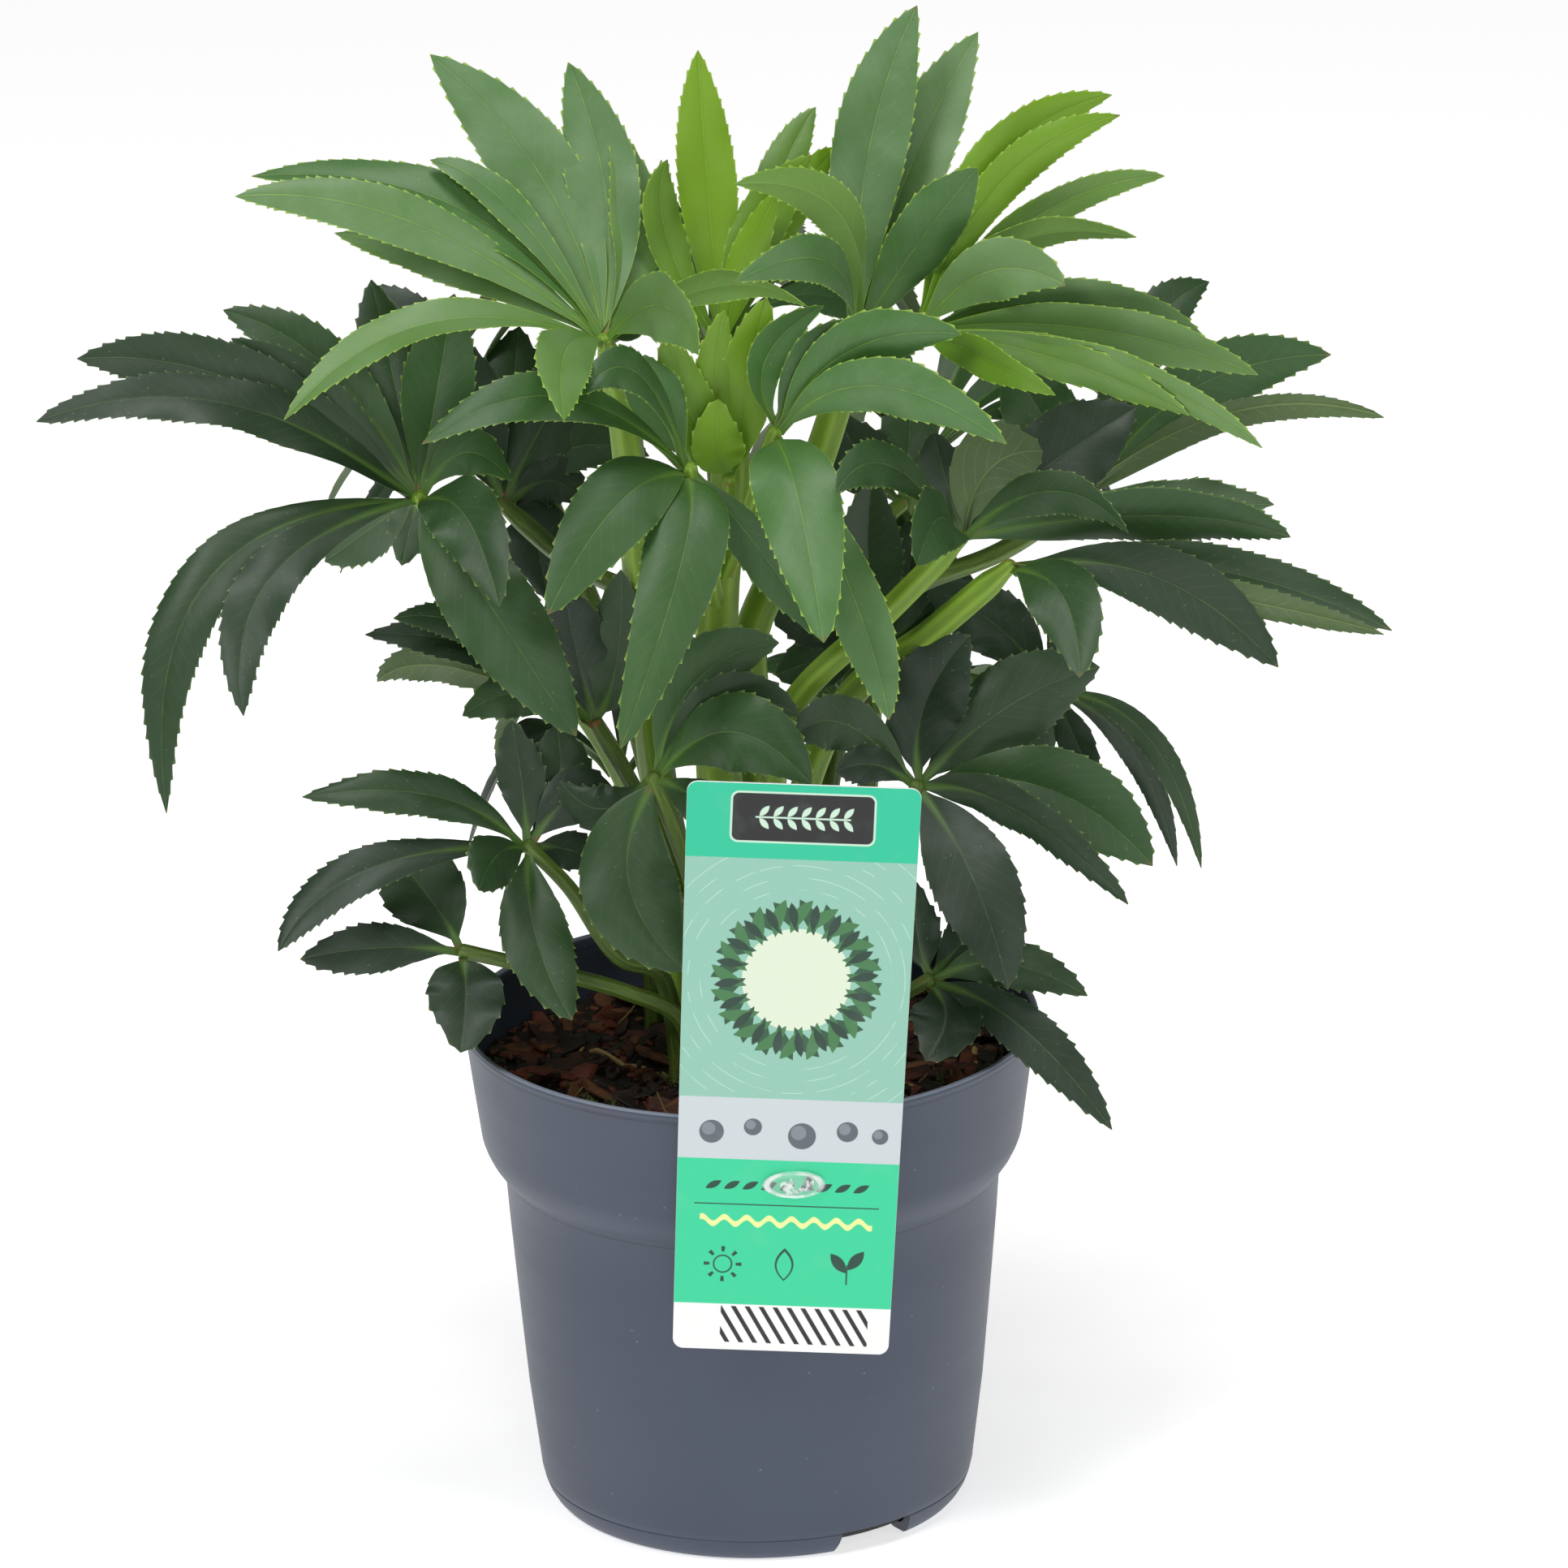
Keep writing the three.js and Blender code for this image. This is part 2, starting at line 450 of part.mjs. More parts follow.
const soilBump = (x, y) =>
  SOIL.bump * (Math.sin(x * 0.31 + 1.3) * Math.cos(y * 0.27) + Math.sin(x * 0.13 - y * 0.19));
const soilMound = (radius) => SOIL.mound * Math.exp(-((radius / 34) ** 2));

function soilPlug() {
  const wall = INNER.slice(2, -1).reverse().map(([r, z]) => [r - GAP, z]);
  const edge = POT.collarFoot - POT.wall + 1.6 - GAP;
  const outline = [[0, POT.floor + GAP], [POT.foot - GAP, POT.floor + GAP], ...wall, [edge, SOIL.level]];
  const top = [52, 36, 20, 0].map((r) => [r, SOIL.level]);
  const body = turned([...outline, ...top], SOIL.sides);
  const spots = body.attributes.position;
  for (let i = 0; i < spots.count; i += 1) {
    const radius = Math.hypot(spots.getX(i), spots.getY(i));
    if (spots.getZ(i) > SOIL.level - 1 && radius < edge - 1) {
      const lift = soilMound(radius) + (radius > 0.1 ? soilBump(spots.getX(i), spots.getY(i)) : 0);
      spots.setZ(i, SOIL.level + lift);
    }
  }
  return toSolid(body);
}

// Bark chips: flat slabs thrown on the soil by seeded draws, each sunk into it by more than half.
function barkChips() {
  const random = seededRandom(CHIPS.seed);
  const between = ([low, high]) => low + (high - low) * random();
  return Array.from({ length: CHIPS.count }, () => {
    const radius = 56 * Math.sqrt(random());
    const turn = 2 * Math.PI * random();
    const [x, y] = [radius * Math.cos(turn), radius * Math.sin(turn)];
    const chip = new THREE.BoxGeometry(between(CHIPS.long), between(CHIPS.wide), between(CHIPS.thick));
    chip.rotateX(0.7 * (random() - 0.5)).rotateY(0.5 * (random() - 0.5)).rotateZ(2 * Math.PI * random());
    return toSolid(chip.translate(x, y, SOIL.level + soilMound(radius) + 0.3));
  });
}

// ---------------------------------------------------------------- card and clip

const cardTop = sighted([12.3, 193, CARD.front]);
const cardFoot = sighted([6.3, 53.4, CARD.front]);
const cardLength = cardTop.distanceTo(cardFoot);
const cardLean = Math.atan2(cardTop.x - cardFoot.x, cardTop.z - cardFoot.z);

function cardSolid() {
  const [half, foot, corner] = [CARD.topWidth / 2, CARD.footWidth / 2, CARD.corner];
  const outline = new THREE.Shape();
  outline.moveTo(-foot + corner, 0);
  outline.lineTo(foot - corner, 0);
  outline.quadraticCurveTo(foot, 0, foot, corner);
  outline.lineTo(half, cardLength - corner);
  outline.quadraticCurveTo(half, cardLength, half - corner, cardLength);
  outline.lineTo(-half + corner, cardLength);
  outline.quadraticCurveTo(-half, cardLength, -half, cardLength - corner);
  outline.lineTo(-foot, corner);
  outline.quadraticCurveTo(-foot, 0, -foot + corner, 0);
  const sheet = { depth: CARD.thick, bevelEnabled: false, curveSegments: 4 };
  const slab = new THREE.ExtrudeGeometry(outline, sheet).rotateX(Math.PI / 2).rotateY(cardLean)
    .translate(cardFoot.x, CARD.front + CARD.thick, cardFoot.z);
  const hole = new THREE.CylinderGeometry(CLIP.stud + GAP, CLIP.stud + GAP, 6, 16)
    .translate(CLIP.x, CARD.front, CLIP.studZ);
  return toSolid(slab).subtract(toSolid(hole));
}

// The clip: a strip up the pot's outside, over the rim and down inside, with a stud through the card.
function clipSolid() {
  const back = CARD.front + CARD.thick + GAP;
  const hookTop = POT.height + GAP + CLIP.strip;
  const leg = (front, foot) => new THREE.BoxGeometry(CLIP.width, CLIP.strip, hookTop - foot)
    .translate(CLIP.x, front + CLIP.strip / 2, (hookTop + foot) / 2);
  const bridge = new THREE.BoxGeometry(CLIP.width, CLIP.hookBack - back, CLIP.strip)
    .translate(CLIP.x, (back + CLIP.hookBack) / 2, hookTop - CLIP.strip / 2);
  const stud = new THREE.CylinderGeometry(CLIP.stud, CLIP.stud, CARD.thick + 2 * GAP + 1, 12)
    .translate(CLIP.x, CARD.front + CARD.thick / 2, CLIP.studZ);
  const head = new THREE.CylinderGeometry(CLIP.head, CLIP.head, CLIP.headThick, 20)
    .translate(CLIP.x, CARD.front - GAP - CLIP.headThick / 2, CLIP.studZ);
  const legs = [leg(back, CLIP.legFoot), leg(CLIP.hookBack - CLIP.strip, CLIP.hookFoot)];
  return joined([...legs, bridge, stud, head].map(toSolid));
}

// ---------------------------------------------------------------- plant

const rootTop = SOIL.level + SOIL.mound;
const SIDES = { stem: 6, stalk: 5 };

// The stalks of one rooted plant piece: its own from the soil to the first hub,
// and one for each further leaf.
function stalkLines(entry) {
  const [x, y] = entry.root;
  const foot = [vec(x, y, rootTop - SOIL.holeDepth), vec(x, y, rootTop + 6)];
  const main = [...foot, ...entry.stalk.map(sighted), sighted(entry.leaves[0].hub)];
  const lines = [{ points: main, thick: entry.thick, sides: SIDES.stem }];
  for (const leaf of entry.leaves.slice(1)) {
    const [start, end] = [sighted(leaf.from), sighted(leaf.hub)];
    const sag = start.clone().lerp(end, 0.5).add(vec(0, 0, -0.06 * start.distanceTo(end)));
    lines.push({ points: [start, sag, end], thick: [2.2, 2.5], sides: SIDES.stalk });
  }
  return lines;
}

// A stalk ends in the knob that its leaflets start inside.
function stalkPiece({ points, thick, sides }, grow = 0) {
  const { x, y, z } = points.at(-1);
  const knob = new THREE.IcosahedronGeometry(KNOB + grow, 0).translate(x, y, z);
  return joined([stalkSolid(points, thick[0], thick[1], sides, grow), toSolid(knob)]);
}

function backStalk(leaf) {
  const [x, y] = leaf.root;
  const hub = vec(...leaf.hub);
  const knee = vec(x + (hub.x - x) * 0.3, y + (hub.y - y) * 0.3, rootTop + (hub.z - rootTop) * 0.55);
  const points = [vec(x, y, rootTop - SOIL.holeDepth), vec(x, y, rootTop + 6), knee, hub];
  return { points, thick: [2.6, 2.5], sides: SIDES.stalk };
}

function growPlant(obstacles) {
  const random = seededRandom(FAN.seed);
  const entries = [
    ...PLANT.map((entry) => ({
      name: entry.name,
      tone: entry.tone,
      lines: stalkLines(entry),
      leaves: entry.leaves.map((leaf) => leaf.leaflets.map((row) => drawnLeaflet(leaf.hub, row))),
    })),
    ...BACK_LEAVES.map((leaf) => ({
      name: leaf.name, tone: "leaf_dark", lines: [backStalk(leaf)], leaves: [fanLeaflets(leaf, random)],
    })),
  ];
  const filled = [...obstacles];
  for (const entry of entries) {
    entry.stalks = entry.lines.map((line) => stalkPiece(line));
    for (const solid of entry.stalks) filled.push(placed(entry.name, "stalk", solid));
  }
  for (const entry of entries) {
    entry.blades = [];
    entry.leaves.forEach((leaflets, number) => {
      const leaf = `${entry.name} leaf ${number}`;
      const ownStalk = (other) => other.owner === entry.name && other.leaf === "stalk";
      const others = filled.filter((other) => other.leaf !== leaf && !ownStalk(other));
      leaflets.forEach((leaflet, index) => {
        const blade = bentClear(leaflet, others, `${leaf} leaflet ${index}`);
        entry.blades.push(blade);
        filled.push(placed(entry.name, leaf, blade));
      });
    });
  }
  return entries;
}

// ---------------------------------------------------------------- the object

const pot = potSolid();
const card = cardSolid();
const clip = clipSolid();
const bareSoil = joined([soilPlug(), ...barkChips()]);
const plant = growPlant([pot, bareSoil, card, clip].map((solid) => placed("holder", "holder", solid)));

// Each stalk stands in a plain hole in the soil, and the root ball clears the channels' roofs.
let soil = bareSoil;
for (const housing of channelHousings(GAP)) soil = soil.subtract(housing);
for (const { lines } of plant) {
  const [line] = lines;
  const [x, y] = [line.points[0].x, line.points[0].y];
  const hole = [vec(x, y, rootTop - SOIL.holeDepth - 1), ...line.points.slice(1)];
  soil = soil.subtract(stalkPiece({ ...line, points: hole }, GAP));
}

const hellebore = new THREE.Group();
function addNode(name, solid, tone) {
  const mesh = new THREE.Mesh(toGeometry(solid), TONES[tone]);
  mesh.name = name;
  hellebore.add(mesh);
}

addNode("pot", pot, "pot");
addNode("soil", oneBody([soil]), "soil");
addNode("plant_card", card, "card");
addNode("card_clip", clip, "clip");
for (const { name, tone, stalks, blades } of plant) addNode(name, oneBody([...stalks, ...blades]), tone);

export default hellebore;
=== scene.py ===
"""A hellebore in its nursery pot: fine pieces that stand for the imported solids, and their finishes.

The tables of the plant are in millimetres. Blender's own lengths and the settings are in metres.
The front is -Y, +Z is up, and the origin is the middle of the pot's underside.
"""

import math
import random

import bpy
import numpy as np
from mathutils import Matrix, Vector, kdtree, noise


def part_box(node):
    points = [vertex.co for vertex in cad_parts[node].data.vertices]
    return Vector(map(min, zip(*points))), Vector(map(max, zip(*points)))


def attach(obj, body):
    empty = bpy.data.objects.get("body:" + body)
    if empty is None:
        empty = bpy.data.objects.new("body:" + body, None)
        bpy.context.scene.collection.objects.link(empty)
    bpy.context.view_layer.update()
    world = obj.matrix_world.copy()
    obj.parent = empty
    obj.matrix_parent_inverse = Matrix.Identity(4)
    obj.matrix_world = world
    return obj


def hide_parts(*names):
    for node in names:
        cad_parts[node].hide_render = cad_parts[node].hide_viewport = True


bl_info = {
    "name": "Potted hellebore",
    "version": (1, 0, 0),
    "blender": (4, 5, 0),
    "location": "View3D > Sidebar > Hellebore",
    "description": "Builds a hellebore in its nursery pot, with its soil, card, clip and stage",
    "category": "Add Mesh",
}

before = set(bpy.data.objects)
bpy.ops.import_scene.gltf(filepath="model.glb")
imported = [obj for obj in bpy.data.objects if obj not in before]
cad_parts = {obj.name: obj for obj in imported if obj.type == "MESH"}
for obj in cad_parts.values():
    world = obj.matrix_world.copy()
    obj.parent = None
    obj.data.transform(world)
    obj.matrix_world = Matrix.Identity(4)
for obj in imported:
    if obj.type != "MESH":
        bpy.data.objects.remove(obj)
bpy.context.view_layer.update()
POT_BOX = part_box("pot")

MM = 0.001
BODY = "root"

# ---------------------------------------------------------------- the front sight
# Plant pieces are drawn as they are seen from the front: millimetres to the right of and above a
# corner of the front drawing, and millimetres of depth away from the viewer (world Y). The drawing
# is seen by an eye in front of the plant that looks slightly down on it.

SIGHT_DISTANCE = 3500
SIGHT_ELEVATION = 19.8
SIGHT_ROLL = -0.9
SIGHT_AIM = Vector((9.3, 0, 185.8))
SIGHT_CENTRE = (7.2, 193.2)
SIGHT_WIDTH = 386.4  # millimetres across the view at the aim
SENSOR = 36

AHEAD = Vector((0, math.cos(math.radians(SIGHT_ELEVATION)), -math.sin(math.radians(SIGHT_ELEVATION))))
RIGHTWARD = Matrix.Rotation(-math.radians(SIGHT_ROLL), 3, AHEAD) @ Vector((1, 0, 0))
UPWARD = RIGHTWARD.cross(AHEAD)
EYE = SIGHT_AIM - AHEAD * SIGHT_DISTANCE


def sighted(right, up, depth):
    """The world point that the front drawing shows at a place, at a depth."""
    ray = AHEAD * SIGHT_DISTANCE
    ray += RIGHTWARD * (right - SIGHT_CENTRE[0]) + UPWARD * (up - SIGHT_CENTRE[1])
    return EYE + ray * ((depth - EYE.y) / ray.y)


# ---------------------------------------------------------------- the plant, as drawn
# One entry for each piece that stands in the soil: root is where its stalk enters the soil, stalk
# its drawn points from there to the first hub, thick its radius at the soil and at the hub. Each
# leaf has a hub, the point its own stalk leaves from, its tone (0 old and dark, 1 young), the numbers
# of the leaflets that turn their underside to the front, and its leaflets: middle right and up, tip
# right and up, tip depth beyond the hub, width, roll, and where it isn't 0 how broad-shouldered it
# is (1 broad near the hub, below 0 broad near the tip).

PLANT = [
    {"name": "stem_left", "slot": "leaf_mid", "root": (-12, 8), "thick": (4.9, 3.7),
     "stalk": [(-24, 196, 8), (-29, 252, 0), (-33, 288, -6)], "leaves": [
         {"hub": (-37, 303, -10), "tone": 0.6, "turned": (9,), "leaflets": [
             (-52, 342, -80, 373, 35, 20, 0), (-37, 339, -46, 371, 30, 18, -8),
             (-29, 328, -35, 356, 24, 14, 30), (-75, 336.8, -124, 343, 12, 15.5, 40),
             (-85, 332, -128, 338, -7, 13.5, 16), (-82, 307, -116, 283, -26, 12, 40),
             (-46, 301, -47, 283, -56, 15, 0), (-24, 311, -14, 299, -50, 17, 15),
             (-29, 312, -23, 347, 44, 10, 0), (-8, 317, 13, 311, -26, 11, 45),
             (-46, 334, -54, 359, 56, 16, 0), (-72, 321, -103.5, 329, 25, 11, 12),
             (-61, 336, -80, 347, 12, 9, 20)]},
         {"hub": (-62, 262, 42), "from": (-29, 240, 1), "tone": 0.08, "leaflets": [
             (-71, 286, -78, 306, 12, 20, 0), (-60, 285, -58, 306, 24, 20, 0),
             (-51, 284, -42, 296, 14, 20, 0), (-55, 256, -51, 238, -1, 18, 0),
             (-79, 299, -94, 316, 22, 16, 10), (-50, 268, -42, 262, 4, 13, 0),
             (-45, 276, -26, 274, 12, 12, 0)]}]},
    {"name": "stem_centre", "slot": "leaf_mid", "root": (-2, -3), "thick": (6.2, 4.3),
     "stalk": [(-9, 200, -4), (-9, 240, -3), (-6, 272, 0)], "leaves": [
         {"hub": (-8, 300, 3), "tone": 0.85, "leaflets": [
             (-11.5, 339, -14, 374, 16, 14.5, 0), (-21.5, 328, -21.5, 347, -6, 10, 20),
             (4, 338, 15, 360, 36, 11, 0), (9, 334.5, 20.5, 349.5, 22, 10, 20),
             (0, 328, 14, 348, 10, 13, 0), (-3, 320, 6, 340, 0, 9, 0)]},
         {"hub": (-6, 268, -9), "from": (-8, 256, -3), "tone": 0.9, "leaflets": [
             (-2, 292, 3, 313, 2, 14, 0, 0.4), (-9, 276, -9, 288, -6, 13, 0, 0.6),
             (-15.5, 284, -21.5, 306, -4, 14, 0, 0.5), (-9.5, 289, -7.5, 310, 0, 11, 10, 0.5)]},
         {"hub": (5, 280, -20), "from": (-8, 244, -4), "tone": 0.38, "leaflets": [
             (24, 300, 51, 304, -12, 15, 20), (30, 291, 62, 277, -22, 15, 25),
             (3, 298, 17, 311, 12, 10, 15), (13, 297, 25, 307, -2, 10, 20),
             (11, 262, 17, 228, -42, 21, 0, 1), (24, 240, 33, 209, -28, 14, 10)]},
         {"hub": (-16, 271, -24), "from": (-9, 236, -4), "tone": 0.38, "leaflets": [
             (-49, 289, -82, 277, -30, 13, 30), (-34, 262, -51, 235, -30, 20, 10, 0.6),
             (-18, 248, -33, 202, -38, 20, 0, 1), (-24, 288, -27, 299, 12, 14, 0),
             (-29, 295, -43, 289, -24, 11, 30), (0, 252, 16, 229, -14, 12, 20)]}]},
    {"name": "stem_right", "slot": "leaf_young", "root": (6, 10), "thick": (5.4, 3.8),
     "stalk": [(0, 205, 10), (-1, 229, 9), (5, 245, 8), (17, 277, 5)], "leaves": [
         {"hub": (25, 303, 4), "tone": 0.52, "turned": (3,), "leaflets": [
             (28, 348.5, 40, 385, 26, 18.5, 0), (38, 344.5, 55, 378.5, 40, 18, 0),
             (41, 327, 55, 345, -6, 16, 20), (20, 334, -5, 341, -22, 12, 25),
             (18, 322, -5, 317, -42, 12, 20)]},
         {"hub": (40, 305, -2), "from": (22, 290, 4), "tone": 0.78, "turned": (3,), "leaflets": [
             (58.5, 345.3, 88, 363, 38, 13, 20), (61.5, 342, 90, 358, 22, 10.5, 10),
             (70.5, 333.3, 101, 343, 26, 9.5, 25, 0.6), (64, 327.3, 94, 328, 10, 9, 35, 0.4),
             (58, 319.5, 76.5, 316, -12, 15.5, 10), (80, 311, 112, 301, -5, 14, 20),
             (83, 305, 124, 294, -16, 14, 30), (76, 297, 107, 284, -28, 12, 30),
             (87, 296, 125, 276, -36, 10, 40), (54, 299, 74, 289, -42, 10, 25)]},
         {"hub": (36, 262, 36), "from": (5, 243, 8), "tone": 0.2, "leaflets": [
             (28, 254, 23, 242, -4, 16, 0), (33, 246, 31, 234, 6, 16, 0), (42, 250, 46, 238, 2, 14, 0),
             (27, 272, 20, 285, 8, 17, 0), (38, 277, 38, 291, 12, 15, 0)]}]},
    {"name": "stem_right_low", "slot": "leaf_dark", "root": (9, -14), "thick": (3.9, 3),
     "stalk": [(4, 188, -15), (9, 212, -17), (32, 235, -16)], "leaves": [
         {"hub": (51, 254, -15), "tone": 0.12, "turned": (2,), "leaflets": [
             (46, 259, 40, 247, -38, 17, 0, 0.6), (33, 272, 20, 265, -26, 12, 25),
             (58, 271, 71, 275, 14, 20, 0), (47, 268, 44, 280, 16, 13, 0),
             (73, 265, 92, 255, -28, 13, 30), (99, 259, 132, 254, 0, 14, 25, 0.4),
             (74, 273, 94, 286, 28, 22, 0)]},
         {"hub": (82, 265, 26), "from": (40, 243, -12), "tone": 0.15, "leaflets": [
             (109, 291, 142, 299, 10, 17, 10), (119, 284.5, 155, 283.5, -6, 8.5, 150, 1),
             (95.5, 302, 112, 317, 34, 14.5, 0), (72, 282, 62, 298, 36, 19, 0),
             (104, 262, 128, 262, 20, 14, 30)]}]},
    {"name": "stem_far_right", "slot": "leaf_dark", "root": (18, 1), "thick": (4.2, 3.1),
     "stalk": [(10, 180, 2), (22, 213, -1), (44, 231, -12)], "leaves": [
         {"hub": (63, 247, -21), "tone": 0.1, "leaflets": [
             (75.5, 240, 80, 219.5, -32, 17.5, 0, 0.3), (99, 244, 129, 222, -16, 17, 10, -0.5),
             (112, 246, 157, 231, 6, 13, 25), (114, 239, 155, 230, -6, 10, 150)]},
         {"hub": (72, 217, 20), "from": (36, 225, -11), "tone": 0.08, "leaflets": [
             (97, 204.5, 110, 172.5, -10, 7, 10), (92.5, 202, 104, 173, 4, 7, 10),
             (78.5, 205, 84, 191, -14, 9, 10), (68, 206, 60, 198, 4, 14, 0),
             (60, 232, 42, 242, 6, 17, 0), (78, 232, 82, 240, 18, 13, 0)]}]},
    {"name": "leaf_far_left", "slot": "leaf_dark", "root": (-16, -1), "thick": (3.4, 2.2),
     "stalk": [(-31, 192, 0), (-58, 232, -2), (-74, 253, -6)], "leaves": [
         {"hub": (-83, 264, -10), "tone": 0.17, "leaflets": [
             (-126, 292, -167, 298, 0, 17, 10), (-131, 287.5, -177, 282.5, -14, 15, 35, 1),
             (-105, 295.5, -131, 310, 18, 14.5, 5), (-107, 288, -129, 303, 6, 12, 10),
             (-88.5, 291, -94.5, 317.5, 28, 17, 0), (-135.5, 243, -145, 186, -34, 15, 15),
             (-119.5, 244, -126, 210, -46, 14, 10), (-72, 260, -63, 237, -36, 18, 0, 0.5),
             (-78.5, 289, -74, 314, 26, 18, 0), (-64.5, 236, -44, 205, -30, 22, 0, 0.5),
             (-95, 256, -106, 248, 24, 14, 0), (-71, 275, -60, 268, 4, 12, 0),
             (-85, 256, -87, 247, 12, 11, 0, 0.4)]}]},
    {"name": "leaf_mid_left", "slot": "leaf_dark", "root": (-11, -12), "thick": (2.6, 1.9),
     "stalk": [(-26, 184, -12)], "leaves": [
         {"hub": (-39, 208, -6), "tone": 0.1, "leaflets": [
             (-66, 226.5, -96, 230, -6, 12, 25), (-66, 230.4, -89, 234, 16, 9.5, 20),
             (-74, 222.5, -93, 218.5, 30, 10.5, 150), (-57, 215.5, -72, 210, 18, 12, 0),
             (-44, 226, -47, 242, 18, 18, 0), (-34, 224, -33, 246, 10, 16, 0)]}]},
    {"name": "leaf_low_left", "slot": "leaf_dark", "root": (-18, -16), "thick": (2.4, 1.8),
     "stalk": [(-24, 147, -19), (-33, 150, -20), (-46, 168, -21)], "leaves": [
         {"hub": (-56, 178, -22), "tone": 0.05, "leaflets": [
             (-80, 190.8, -111.5, 190, -10, 12, 20), (-96.5, 172, -117.5, 152, -26, 12.5, 20, -0.3),
             (-57.5, 194, -60, 209, 10, 12, 0), (-48.5, 193, -49, 208, 16, 17, 0, -0.3),
             (-45, 190, -35, 190.5, 8, 14, 0), (-46, 177, -38, 174, 6, 10, 0),
             (-54, 156, -45, 135, -25, 17, 0, 0.3), (-63, 176, -68, 167, -30, 14, 0)]}]},
    {"name": "leaf_edge_left", "slot": "leaf_dark", "root": (-14, -26), "thick": (2.2, 1.7),
     "stalk": [(-19, 136, -27), (-32, 142, -27), (-50, 147, -27)], "leaves": [
         {"hub": (-72, 152, -26), "tone": 0.1, "leaflets": [
             (-92, 152.8, -112, 150, -12, 12.5, 0, -0.2), (-80, 165, -91, 178, 10, 20, 0, -0.5),
             (-71.3, 141.5, -72.5, 127, -20, 19, 0, 0.5)]}]},
    {"name": "leaf_mid_right", "slot": "leaf_dark", "root": (27, 12), "thick": (2.6, 2.1),
     "stalk": [(28, 190, 20)], "leaves": [
         {"hub": (30, 226, 24), "tone": 0.1, "leaflets": [
             (28, 247, 29, 269, 10, 17, 0), (37, 243, 40, 259, 16, 15, 0),
             (44, 237, 53, 246, 18, 14, 0), (17, 233.5, 4, 234.5, 8, 15, 0),
             (17, 224, 5, 220, 4, 14.5, 0)]}]},
    {"name": "leaf_low_centre", "slot": "leaf_dark", "root": (-3, -24), "thick": (2.6, 1.9),
     "stalk": [(-15, 168, -28)], "leaves": [
         {"hub": (-25, 195, -30), "tone": 0.15, "leaflets": [
             (-14, 219, 6, 228, 6, 17, 0), (-6, 206, 14, 193, -16, 20, 0),
             (-8, 213, 11, 210, -2, 14, 10), (-31, 169, -17, 147, -18, 24, 0, 0.3),
             (-38, 187, -48, 194, 12, 12, 0), (-15, 190, -10, 185, -20, 11, 0)]}]},
    {"name": "leaf_low_right", "slot": "leaf_dark", "root": (22, -14), "thick": (2.6, 1.9),
     "stalk": [(31, 160, -18)], "leaves": [
         {"hub": (40, 193, -20), "tone": 0.1, "leaflets": [
             (42, 213, 53, 230, 12, 20, 0), (62, 212, 85, 222, 6, 21, 0),
             (72, 192, 98, 173, -16, 22, 0, -0.3), (65, 186, 92, 163.5, -30, 12, 35, 0.6),
             (53.5, 170.5, 62.5, 143, -32, 21, 0, 0.2), (22, 208, 9, 204, -8, 14, 0),
             (29, 198, 20, 196, -12, 10, 0)]}]},
    {"name": "leaf_edge_right", "slot": "leaf_dark", "root": (12, -26), "thick": (2.2, 1.7),
     "stalk": [(28, 136, -27)], "leaves": [
         {"hub": (43, 145, -28), "tone": 0.05, "leaflets": [
             (62, 149, 82, 141, -4, 12, 0), (66, 133, 88, 108, -28, 12.5, 0),
             (47, 136, 42, 125, -19, 18, 0), (52, 155, 60, 163, 22, 12, 0),
             (40, 157, 40, 169, 14, 12, 0)]}]},
]

# Leaves that stand behind the stems: each is a fan of leaflets about its own outward direction.
BACK_LEAVES = [
    {"name": "leaf_back_left", "root": (-16, 20), "hub": (-50, 68, 243),
     "turn": 112, "reach": 76, "width": 19, "count": 5},
    {"name": "leaf_back_middle", "root": (-2, 25), "hub": (-8, 64, 280),
     "turn": 92, "reach": 86, "width": 20, "count": 6},
    {"name": "leaf_back_right", "root": (14, 21), "hub": (46, 70, 248),
     "turn": 66, "reach": 76, "width": 19, "count": 5},
    {"name": "leaf_back_low_left", "root": (-24, 27), "hub": (-32, 62, 168),
     "turn": 104, "reach": 56, "width": 17, "count": 4},
    {"name": "leaf_back_low_right", "root": (23, 28), "hub": (32, 62, 172),
     "turn": 74, "reach": 56, "width": 17, "count": 4},
]
BACK_TONE = 0.12
BACK_THICK = (2.6, 2.5)  # radius of a back leaf's stalk, at the soil and at the hub
FAN_SPREAD = 176  # degrees from a fan's first leaflet to its last
FAN_RISE = 26
FAN_DROOP = 34
FAN_SIDE_REACH = 0.78  # reach of the outermost leaflets, as a share of the middle one's
FAN_SEED = 11

# The solid leaflets: depths that each may be bent by to clear its neighbours, half thickness, half
# width of the tip, and the share along a blade of its first plain ring.
BEND_STEPS = (0, -4, 4, -8, 8, -13, 13, -18, 18, -24, 24, -31, 31, -39, 39, -48, 48)
SOLID_HALF_THICK = 0.35
SOLID_TIP_HALF = 0.45
SOLID_PLAIN = 0.24
SOLID_MATCH = 0.1  # how near a solid's point has to be to count as a corner that was looked for

BLADE_START = 2.7  # from the hub to the start of a leaflet's midline
BLADE_FULLNESS = 0.8  # the lower, the fuller a leaflet's outline
BLADE_LEAN = 1.15  # the higher, the nearer to its tip a leaflet is widest
MIDDLE_DEPTH = 0.55  # depth of a leaflet's middle, as a share of its tip's
MIDDLE_BEND = 0.45
TIP_WIDTH = 0.24
STALK_WIDTH = 2.1
SOIL_LEVEL = 111
ROOT_TOP = SOIL_LEVEL + 4
HOLE_DEPTH = 9


def tint(red, green, blue):
    """A linear colour from the red, green and blue that a screen shows, 0 to 255."""
    shares = (value / 255 for value in (red, green, blue))
    return tuple(s / 12.92 if s <= 0.04045 else ((s + 0.055) / 1.055) ** 2.4 for s in shares)


# ---------------------------------------------------------------- settings

